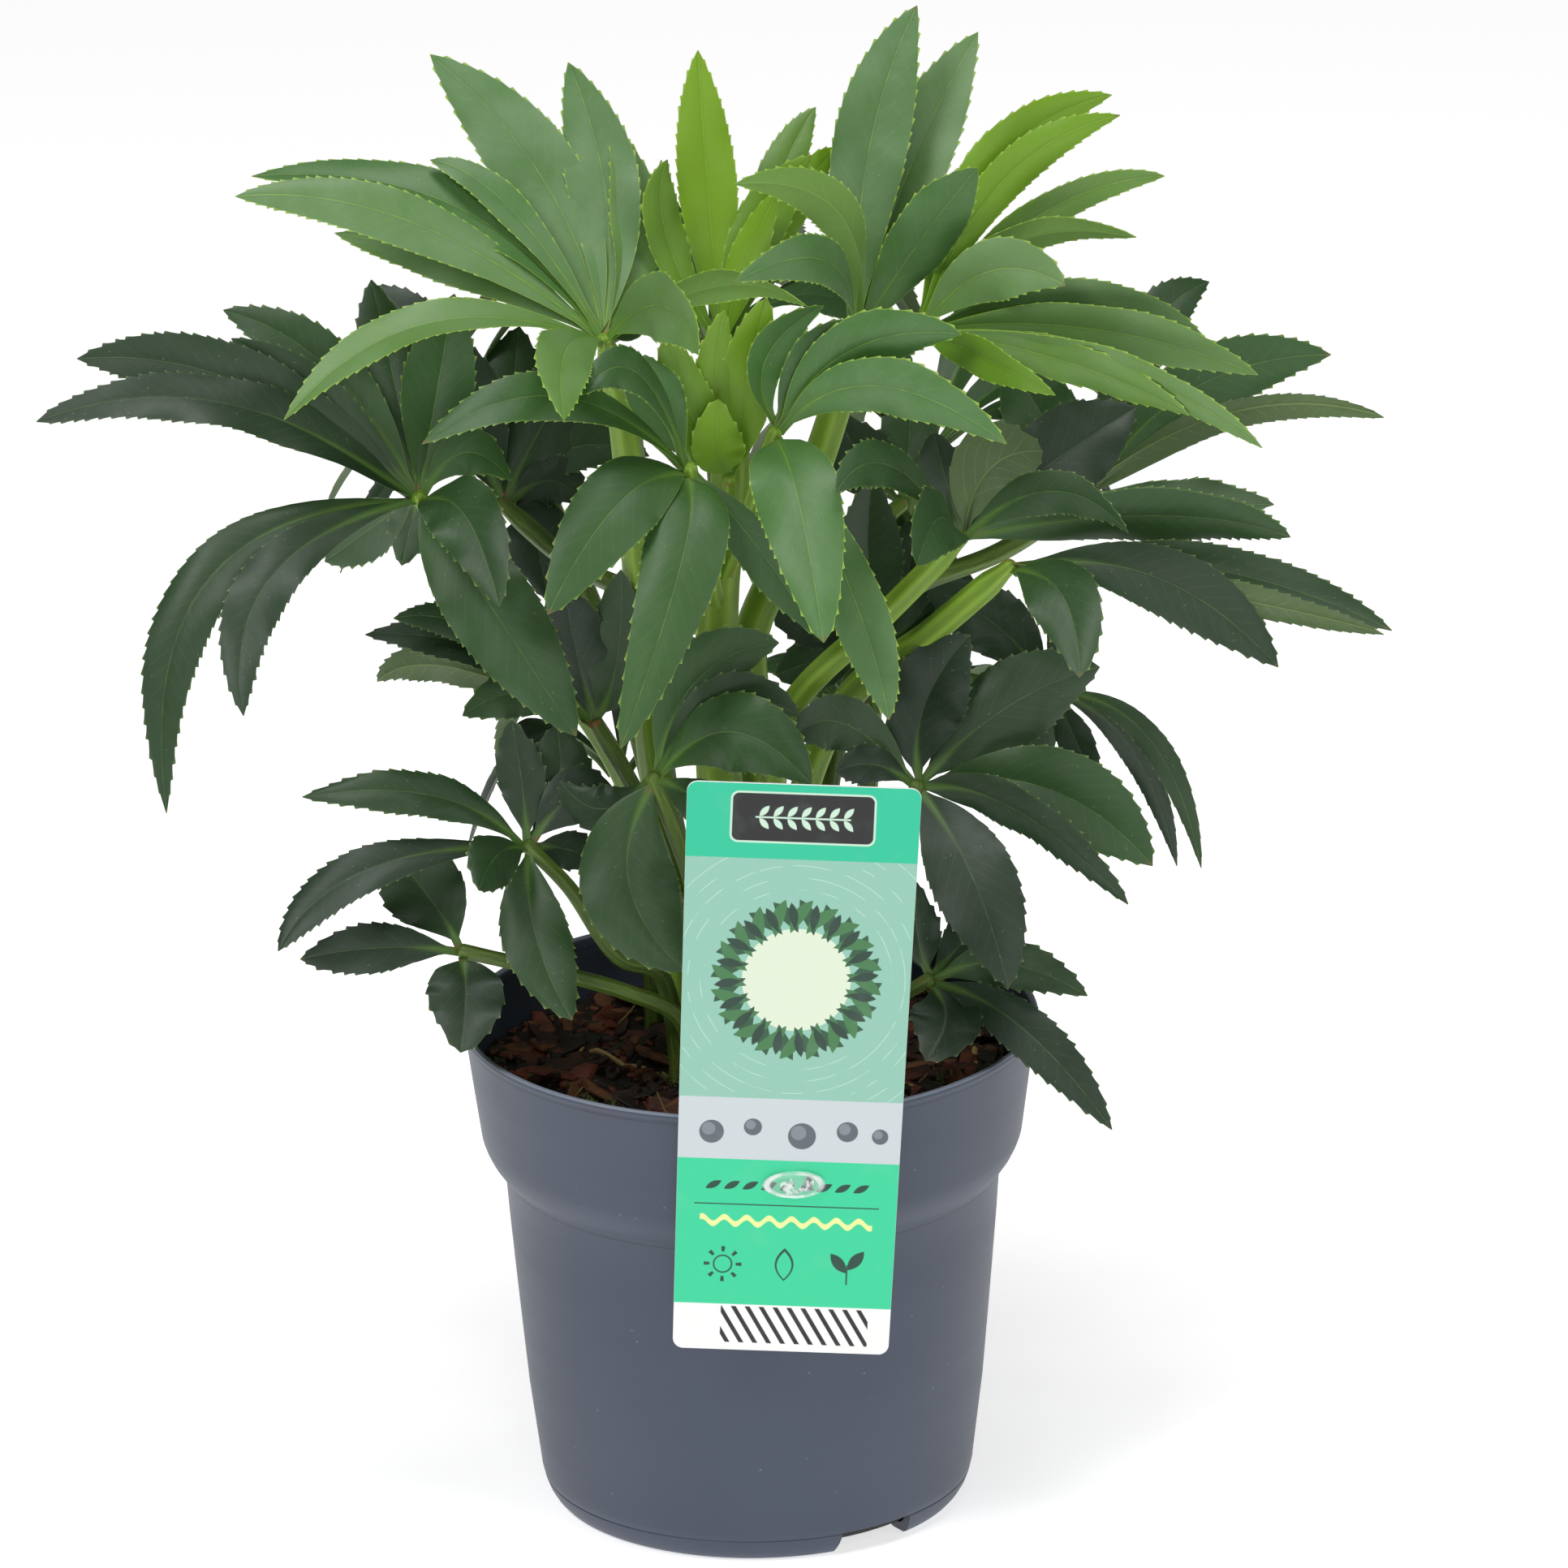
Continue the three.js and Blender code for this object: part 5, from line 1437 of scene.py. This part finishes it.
# The clip: its stud through the card, the path of its strip over the rim as (depth, height), the
# corners of the strip's section, and its button. The button reaches further to the left than to the
# right of its middle, and its rings are (how far in front of its rear, share of its outline).
STUD = (14, 109)
STUD_RADIUS = 1.75
STUD_HOLE = 2.15
STUD_SIDES = 28
STRIP = CARD_FRONT + 1.45
STRIP_PATH = ((STRIP, 103.2), (STRIP, 112), (STRIP, 124.6), (STRIP + 0.25, 126.0),
              (STRIP + 1.1, 126.45), (-69.5, 126.45), (-66.2, 126.45), (-64.95, 126.1),
              (-64.6, 125.2), (-64.6, 121), (-64.6, 117.4))
STRIP_SECTION = ((-4.5, -0.35), (-4.2, -0.5), (4.2, -0.5), (4.5, -0.35),
                 (4.5, 0.35), (4.2, 0.5), (-4.2, 0.5), (-4.5, 0.35))
BUTTON_LEFT, BUTTON_RIGHT, BUTTON_UP = 8.4, 7.2, 3.6
BUTTON_MIDDLE = STUD[0] - 3.2
BUTTON_REAR = CARD_FRONT - 0.3
BUTTON_RINGS = ((0, 0.96), (0.3, 1.0), (0.75, 0.95), (0.95, 0.8), (0.8, 0.6), (0.75, 0.3))


def card_outline(card):
    """Corners of the card, anticlockwise from its lower left, as (across, up) in millimetres."""
    foot, top = card.foot_width / MM / 2, card.top_width / MM / 2
    corner = card.corner / MM
    outline = []
    for cx, cy, first in ((foot - corner, corner, -90), (top - corner, CARD_LENGTH - corner, 0),
                          (-top + corner, CARD_LENGTH - corner, 90), (-foot + corner, corner, 180)):
        for k in range(11):
            turn = math.radians(first + 9 * k)
            outline.append((cx + corner * math.cos(turn), cy + corner * math.sin(turn)))
    return outline


def card_place(across, up, depth):
    """The world point of a place on the card, depth behind its printed face."""
    return Vector((CARD_FOOT.x + across * math.cos(CARD_LEAN) + up * math.sin(CARD_LEAN),
                   CARD_FRONT + depth,
                   CARD_FOOT.z - across * math.sin(CARD_LEAN) + up * math.cos(CARD_LEAN)))


def card_form(card):
    """The card with a punched hole, as a ring of faces between outline and hole on both sides."""
    form = Form()
    outline = card_outline(card)
    thick = card.thickness / MM
    dx, dz = STUD[0] - CARD_FOOT.x, STUD[1] - CARD_FOOT.z
    hole = (dx * math.cos(CARD_LEAN) - dz * math.sin(CARD_LEAN),
            dx * math.sin(CARD_LEAN) + dz * math.cos(CARD_LEAN))
    turns = [math.atan2(y - hole[1], x - hole[0]) for x, y in outline]
    inner = [(hole[0] + STUD_HOLE * math.cos(a), hole[1] + STUD_HOLE * math.sin(a)) for a in turns]
    middle = CARD_LENGTH / 2
    bevelled = []
    for x, y in outline:
        far = math.hypot(x, y - middle)
        bevelled.append((x - x / far * CARD_BEVEL, y - (y - middle) / far * CARD_BEVEL))
    loops = [(inner, 0), (bevelled, 0), (outline, CARD_BEVEL),
             (outline, thick - CARD_BEVEL), (bevelled, thick), (inner, thick)]
    places = [(x, y, depth) for loop, depth in loops for x, y in loop]
    count = len(outline)
    last = (len(loops) - 1) * count
    faces = ring_faces(len(loops), count)
    faces += [(last + i, last + (i + 1) % count, (i + 1) % count, i) for i in range(count)]
    form.add([card_place(*place) for place in places], faces, [(x, y, 0) for x, y, _ in places])
    form.kinds = [0] * count + [1] * (len(faces) - count)
    return form


class Print:
    """Shapes on the card's face, each a mask that is 1 inside the shape. Places are millimetres to
    the right of the card's middle line and above its foot."""

    SOFT = 0.12  # half the width of a shape's soft edge

    def __init__(self, across, up):
        self.across = across
        self.up = up

    def inside(self, distance):
        return distance.fall(-self.SOFT, self.SOFT)

    def above(self, height):
        return self.up.rise(height - 0.1, height + 0.1)

    def far(self, x, y):
        """The distance from a place."""
        right, high = self.across - x, self.up - y
        return (right * right + high * high) ** 0.5

    def disc(self, x, y, radius):
        return self.inside(self.far(x, y) - radius)

    def bar(self, x, y, half_wide, half_high):
        wide = self.inside(abs(self.across - x) - half_wide)
        return wide * self.inside(abs(self.up - y) - half_high)

    def panel(self, x, y, half_wide, half_high, corner):
        dx = (abs(self.across - x) - (half_wide - corner)).most(0)
        dy = (abs(self.up - y) - (half_high - corner)).most(0)
        return self.inside((dx * dx + dy * dy) ** 0.5 - corner)

    def pointed(self, run, off, length, width):
        """A leaf shape, from the distances along it and across it from its middle."""
        body = 1 - (run / (length / 2)) * (run / (length / 2))
        return self.inside(off - body * (width / 2))

    def leaf(self, x, y, length, width, turn):
        """A leaf shape about a middle, turned in degrees from upright."""
        s, c = math.sin(math.radians(turn)), math.cos(math.radians(turn))
        right, high = self.across - x, self.up - y
        return self.pointed(right * s + high * c, abs(right * c - high * s), length, width)

    def sprig(self):
        """A straight stem with pairs of leaves."""
        stem = self.bar(0, PANEL_UP, 11.5, 0.22)
        for k in range(7):
            for lift, turn in ((1.6, 40), (-1.6, 140)):
                stem = stem.most(self.leaf(-9.4 + 3.4 * k, PANEL_UP + lift, 3.6, 1.5, turn))
        return stem

    def wreath(self):
        """Rings of leaves about the field's disc, each ring as its share and its colour."""
        radial = self.far(0, WREATH_UP) - WREATH_RADIUS
        turn = (self.up - WREATH_UP).math("ARCTAN2", self.across) * (WREATH_LEAVES / (2 * math.pi))
        pitch = 2 * math.pi * WREATH_RADIUS / WREATH_LEAVES
        for start, lean, length, width, colour in (
                (0.0, 0.62, 11.5, 3.3, tint(36, 84, 54)),
                (0.5, -0.55, 10.5, 3.0, tint(62, 122, 70)),
                (0.25, 0.1, 7.0, 2.2, tint(22, 60, 44))):
            local = ((turn + start).fraction() - 0.5) * pitch
            run = radial * math.cos(lean) + local * math.sin(lean)
            off = abs(local * math.cos(lean) - radial * math.sin(lean))
            yield self.pointed(run, off, length, width), colour

    def pebbles(self):
        """Round pebbles, each as its share and its colour, and then its light spot."""
        for x, y, size in PEBBLES:
            yield self.disc(x, y, size), tint(92, 100, 108)
            yield self.disc(x - size * 0.25, y + size * 0.25, size * 0.55), tint(130, 138, 146)

    def garden_signs(self):
        """A sun, a drop and a sprout."""
        far = self.far(-15, SUN_UP)
        turn = (self.up - SUN_UP).math("ARCTAN2", self.across + 15)
        sun = self.inside(abs(far - 2.2) - 0.2)
        rays = (turn * 8).cosine().rise(0.55, 0.75) * far.fall(4.5, 4.7) * far.rise(3.1, 3.3)
        drop = self.leaf(0, 22.8, 8.6, 4.6, 0) * (1 - self.leaf(0, 22.6, 7.2, 3.6, 0))
        sprout = self.leaf(13.2, 23.6, 6.4, 2.8, -38).most(self.leaf(17.4, 24.4, 6.4, 2.8, 38))
        return sun.most(rays).most(drop).most(sprout).most(self.bar(15.3, 20.6, 0.2, 2.6))


def print_material(card):
    """The printed face: bands of colour, a sprig on a panel, a wreath and three garden signs."""
    paint = Paint("card_print")
    across, up, _ = paint.parts("spot")
    drawn = Print(across, up)
    charcoal, pale = tint(9, 10, 12), tint(206, 236, 214)
    far = drawn.far(0, WREATH_UP)
    ripple = drawn.inside(abs((far / 3.1).fraction() - 0.5) * 3.1 - 0.1) * far.rise(21, 23)
    ripple = ripple * paint.noise(paint.vector(across, up, 0), 0.16, 2).rise(0.44, 0.56)
    ripple = ripple * up.rise(LOW_BAND, LOW_BAND + 0.2) * up.fall(FIELD_TOP - 0.2, FIELD_TOP)
    wave = (across * 1.15).sine() * 0.9
    ribbon = drawn.inside(abs(up - WAVE_UP - wave) - 0.75) * drawn.inside(abs(across) - 21)
    stripe = ((across + up * 0.6) / 3.4).fraction()
    stripes = drawn.inside(abs(stripe - 0.5) * 3.4 - 0.62) * drawn.inside(abs(across - 3) - 18)
    stripes = stripes * up.fall(11.4, 11.6) * up.rise(1.9, 2.1)
    wear = paint.noise(paint.place(), 120, 4)
    shade = paint.coated(
        card.low_band,
        (drawn.above(LOW_BAND), card.field),
        (drawn.above(FIELD_TOP), card.band),
        (1 - drawn.above(FOOT_BAND), tint(250, 250, 248)),
        # Upper band: a sprig on a dark panel with a pale border.
        (drawn.panel(0, PANEL_UP, 17.6, 6.6, 2.0), pale),
        (drawn.panel(0, PANEL_UP, 17.1, 6.1, 1.6), charcoal),
        (drawn.sprig(), pale),
        # Middle field: fine ripples, a wreath of leaves about a plain disc, and a strip of pebbles.
        (ripple * 0.7, tint(206, 232, 222)),
        ((1 - drawn.above(PEBBLE_BAND)) * drawn.above(LOW_BAND), tint(206, 214, 218)),
        (drawn.disc(0, WREATH_UP, 13.2), tint(226, 238, 214)),
        *drawn.wreath(),
        *drawn.pebbles(),
        # Lower band: a row of leaves, a rule, a pale wave and three garden signs.
        *((drawn.leaf(-18 + 4.5 * k, LEAFY_ROW, 4.4, 1.7, 62), card.ink) for k in range(9)),
        (drawn.bar(0, RULE_UP, 22.5, 0.16), card.ink),
        (ribbon, tint(238, 246, 160)),
        (drawn.garden_signs(), card.ink),
        # Foot: slanting stripes on white.
        (stripes, charcoal),
        (wear.rise(0.5, 0.8) * 0.05, tint(200, 214, 214)),
    )
    return paint.finish(
        Base_Color=shade,
        Roughness=0.36 + 0.08 * wear,
        Coat_Weight=0.12,
        Normal=paint.bump(wear, 0.0001, 0.4),
    )


def card_stock_material():
    """The bare back and edge of the card."""
    paint = Paint("card_stock")
    fibre = paint.noise(paint.place(), 700, 3)
    return paint.finish(
        Base_Color=paint.mix(fibre, tint(238, 240, 238), tint(250, 250, 250)),
        Roughness=0.5 + 0.1 * fibre,
        Normal=paint.bump(fibre, 0.0001, 0.4),
    )


def slab_points(outline, depths):
    """Rings of an outline in X and Z at depths along Y, with their insets."""
    middle_x = sum(x for x, _ in outline) / len(outline)
    middle_z = sum(z for _, z in outline) / len(outline)
    points = []
    for depth, share in depths:
        points += [(middle_x + (x - middle_x) * share, depth, middle_z + (z - middle_z) * share)
                   for x, z in outline]
    return points


def clip_form():
    """The clear clip: a strip hooked over the rim, a stud through the card and a domed button."""
    form = Form()
    x, z = STUD
    line = np.array([(x, y, height) for y, height in STRIP_PATH])
    strip = []
    for centre, way in zip(line, row_unit(np.gradient(line, axis=0))):
        out = np.cross(way, (1, 0, 0))
        strip += [centre + np.array((side, 0, 0)) + out * lift for side, lift in STRIP_SECTION]
    form.add(strip, closed_faces(len(line), len(STRIP_SECTION)))

    stud = [(x + dx, z + dz) for dx, dz in circle(STUD_RADIUS, STUD_SIDES)]
    stud_rings = ((STRIP - 0.1, 1), (BUTTON_REAR, 1))
    form.add(slab_points(stud, stud_rings), closed_faces(len(stud_rings), STUD_SIDES))
    button = [(BUTTON_MIDDLE + (BUTTON_LEFT if c < 0 else BUTTON_RIGHT) * c, z + BUTTON_UP * s)
              for c, s in circle(1, STUD_SIDES)]
    button_rings = [(BUTTON_REAR - ahead, share) for ahead, share in BUTTON_RINGS]
    form.add(slab_points(button, button_rings), closed_faces(len(button_rings), STUD_SIDES))
    return form


def clip_material():
    """Clear moulded plastic with painted highlights: along its button's rim and in small glints it is
    whiter and less clear.
    """
    paint = Paint("clear_clip")
    x, _, z = paint.millimetres()
    middle = BUTTON_MIDDLE + (BUTTON_RIGHT - BUTTON_LEFT) / 2
    across = (x - middle) / ((BUTTON_LEFT + BUTTON_RIGHT) / 2)
    up = (z - STUD[1]) / BUTTON_UP
    far = (across * across + up * up) ** 0.5
    ripple = paint.noise(paint.place(), 420, 2)
    # Painted highlights: the plastic is whiter and less clear along the button's rim and in small
    # glints.
    rim = far.rise(0.72, 0.8) * far.fall(0.9, 0.98) * paint.noise(paint.place(), 160, 2).rise(0.36, 0.6)
    glints = paint.noise(paint.place(), 330, 3, 0.6).rise(0.57, 0.61) * far.fall(0.6, 0.8)
    return paint.finish(
        Base_Color=(0.97, 1, 1),
        Roughness=0.04 + 0.05 * ripple,
        IOR=1.46,
        Transmission_Weight=0.35,
        Alpha=0.16 + 0.8 * rim.most(glints),
        Normal=paint.bump(ripple, 0.0009, 1.0),
    )


# ---------------------------------------------------------------- stage

FLOOR_REACH = 9000
FLOOR_LEVEL = -0.2
LAMP_AIM = Vector((0, 0, 0.2))

# Each lamp: its name, its place, its power as a share of the main light's, and its size.
LAMPS = (
    ("key", (-1.1, -1.4, 2.0), 1, 0.9),
    ("fill", (1.6, -1.2, 1.4), 0.3, 0.8),
    ("front", (0.25, -2.3, 1.0), 0.24, 0.6),
    ("top", (0.1, -0.35, 2.3), 0.85, 0.9),
)


def floor_material(stage):
    """A plain pale floor with a light of its own."""
    paint = Paint("studio_floor")
    grain = paint.noise(paint.place(), 30, 2)
    return paint.finish(
        Base_Color=paint.mix(grain * 0.05, stage.floor, (0.9, 0.9, 0.9)),
        Roughness=0.7,
        Emission_Color=(1, 1, 1),
        Emission_Strength=stage.glow,
    )


def floor_form():
    form = Form()
    corners = ((-1, -1), (1, -1), (1, 1), (-1, 1))
    form.add([(x * FLOOR_REACH, y * FLOOR_REACH, FLOOR_LEVEL) for x, y in corners], [(0, 1, 2, 3)])
    return form


def area_light(name, place, power, size):
    light = bpy.data.lights.new(name, "AREA")
    light.shape = "DISK"
    light.size = size
    light.energy = power
    lamp = bpy.data.objects.new(name, light)
    lamp.location = place
    lamp.rotation_euler = (LAMP_AIM - Vector(place)).to_track_quat("-Z", "Y").to_euler()
    bpy.context.scene.collection.objects.link(lamp)


# ---------------------------------------------------------------- operators

class HELLEBORE_OT_pot(bpy.types.Operator):
    """Builds the nursery pot, with its step collar, drainage channels and drain holes"""

    bl_idname = "hellebore.pot"
    bl_label = "Pot"

    def execute(self, context):
        pot = context.scene.hellebore_pot
        stretch = pot.height / MM / RIM_HEIGHT
        shell = turned_mesh([(radius, height * stretch) for radius, height in SHELL], pot.sides)
        drains = [math.radians(CHANNEL_TURNS[0] + 360 * (k + 0.5) / DRAIN_COUNT)
                  for k in range(DRAIN_COUNT)]
        mesh = carved(shell, [*map(channel_mesh, CHANNEL_TURNS), *map(drain_mesh, drains)])
        mesh.name = "nursery_pot"
        mesh.materials.clear()
        mesh.materials.append(pot_material(pot))
        mesh.set_sharp_from_angle(angle=math.radians(32))
        put("nursery_pot", mesh, "pot", "pot")
        return {"FINISHED"}


class HELLEBORE_OT_soil(bpy.types.Operator):
    """Builds the root ball and what lies on it: bark, crumbs, moss and straw"""

    bl_idname = "hellebore.soil"
    bl_label = "Soil and bark"

    def execute(self, context):
        soil = context.scene.hellebore_soil
        put("root_ball", root_ball_form().mesh("root_ball", [soil_material(soil)], 60), "soil", "soil")
        put("bark_chips", bark_form(soil).mesh("bark_chips", [bark_material(soil)], 24), "soil")
        moss = sliver_material("moss", tint(44, 52, 22), soil.moss)
        put("moss_tufts", moss_form(soil).mesh("moss_tufts", [moss], 30), "soil")
        straw = sliver_material("straw", tint(104, 78, 44), tint(176, 150, 92))
        put("straw_bits", straw_form().mesh("straw_bits", [straw], 30), "soil")
        return {"FINISHED"}


class HELLEBORE_OT_card(bpy.types.Operator):
    """Builds the printed card and the clear clip that holds it on the rim"""

    bl_idname = "hellebore.card"
    bl_label = "Card and clip"

    def execute(self, context):
        card = context.scene.hellebore_card
        materials = [print_material(card), card_stock_material()]
        put("printed_card", card_form(card).mesh("printed_card", materials, 30), "card", "plant_card")
        put("clear_clip", clip_form().mesh("clear_clip", [clip_material()], 35), "clip", "card_clip")
        return {"FINISHED"}


class HELLEBORE_OT_plant(bpy.types.Operator):
    """Grows the stems and leaves, each on the midlines of its solid"""

    bl_idname = "hellebore.plant"
    bl_label = "Stems and leaves"

    def execute(self, context):
        looks = context.scene.hellebore_leaf
        materials = [blade_material(looks), stalk_material(looks)]
        for entry in PLANT:
            leaves = [([drawn_leaflet(leaf["hub"], row) for row in leaf["leaflets"]], leaf["tone"],
                       leaf.get("turned", ())) for leaf in entry["leaves"]]
            plant_piece(entry["name"], entry["slot"], stem_lines(entry), leaves, materials, looks)
        draws = seeded_random(FAN_SEED)
        for leaf in BACK_LEAVES:
            leaves = [(fan_leaflets(leaf, draws), BACK_TONE, ())]
            plant_piece(leaf["name"], "leaf_dark", [back_line(leaf)], leaves, materials, looks)
        return {"FINISHED"}


class HELLEBORE_OT_stage(bpy.types.Operator):
    """Sets up the floor, the light from all around, the lamps and the camera"""

    bl_idname = "hellebore.stage"
    bl_label = "Stage"

    def execute(self, context):
        scene = context.scene
        stage = scene.hellebore_stage
        floor = bpy.data.objects.new("floor", floor_form().mesh("floor", [floor_material(stage)]))
        scene.collection.objects.link(floor)

        world = bpy.data.worlds.new("studio")
        world.use_nodes = True
        sky = world.node_tree.nodes["Background"]
        sky.inputs["Color"].default_value = (1, 1, 1, 1)
        sky.inputs["Strength"].default_value = stage.sky
        scene.world = world
        for name, place, share, size in LAMPS:
            area_light(name, place, stage.key * share, size)

        lens = bpy.data.cameras.new("camera")
        lens.sensor_width = SENSOR
        lens.lens = SENSOR * SIGHT_DISTANCE / SIGHT_WIDTH
        lens.clip_end = 60
        camera = bpy.data.objects.new("camera", lens)
        axes = Matrix((RIGHTWARD, UPWARD, -AHEAD)).transposed()
        camera.matrix_world = Matrix.Translation(EYE * MM) @ axes.to_4x4()
        scene.collection.objects.link(camera)
        scene.camera = camera
        scene.view_settings.view_transform = "Standard"
        return {"FINISHED"}


class HELLEBORE_PT_panel(bpy.types.Panel):
    """Lists the steps that build the potted hellebore"""

    bl_idname = "HELLEBORE_PT_panel"
    bl_label = "Hellebore"
    bl_space_type = "VIEW_3D"
    bl_region_type = "UI"
    bl_category = "Hellebore"

    def draw(self, context):
        for operator in OPERATORS:
            self.layout.operator(operator.bl_idname)
        for name in SETTINGS:
            settings = getattr(context.scene, name)
            for key in settings.bl_rna.properties.keys():
                if key not in ("rna_type", "name"):
                    self.layout.prop(settings, key)


OPERATORS = (HELLEBORE_OT_stage, HELLEBORE_OT_pot, HELLEBORE_OT_soil, HELLEBORE_OT_card,
             HELLEBORE_OT_plant)
SETTINGS = {
    "hellebore_pot": PotSettings,
    "hellebore_soil": SoilSettings,
    "hellebore_card": CardSettings,
    "hellebore_leaf": LeafSettings,
    "hellebore_stage": StageSettings,
}


def register():
    for group in SETTINGS.values():
        bpy.utils.register_class(group)
    for name, group in SETTINGS.items():
        setattr(bpy.types.Scene, name, bpy.props.PointerProperty(type=group))
    for each in (*OPERATORS, HELLEBORE_PT_panel):
        bpy.utils.register_class(each)


def unregister():
    for each in (HELLEBORE_PT_panel, *reversed(OPERATORS)):
        bpy.utils.unregister_class(each)
    for name in SETTINGS:
        delattr(bpy.types.Scene, name)
    for group in reversed(SETTINGS.values()):
        bpy.utils.unregister_class(group)


def main():
    register()
    bpy.ops.hellebore.stage()
    bpy.ops.hellebore.pot()
    bpy.ops.hellebore.soil()
    bpy.ops.hellebore.card()
    bpy.ops.hellebore.plant()
    bpy.context.view_layer.update()


if __name__ == "__main__":
    main()
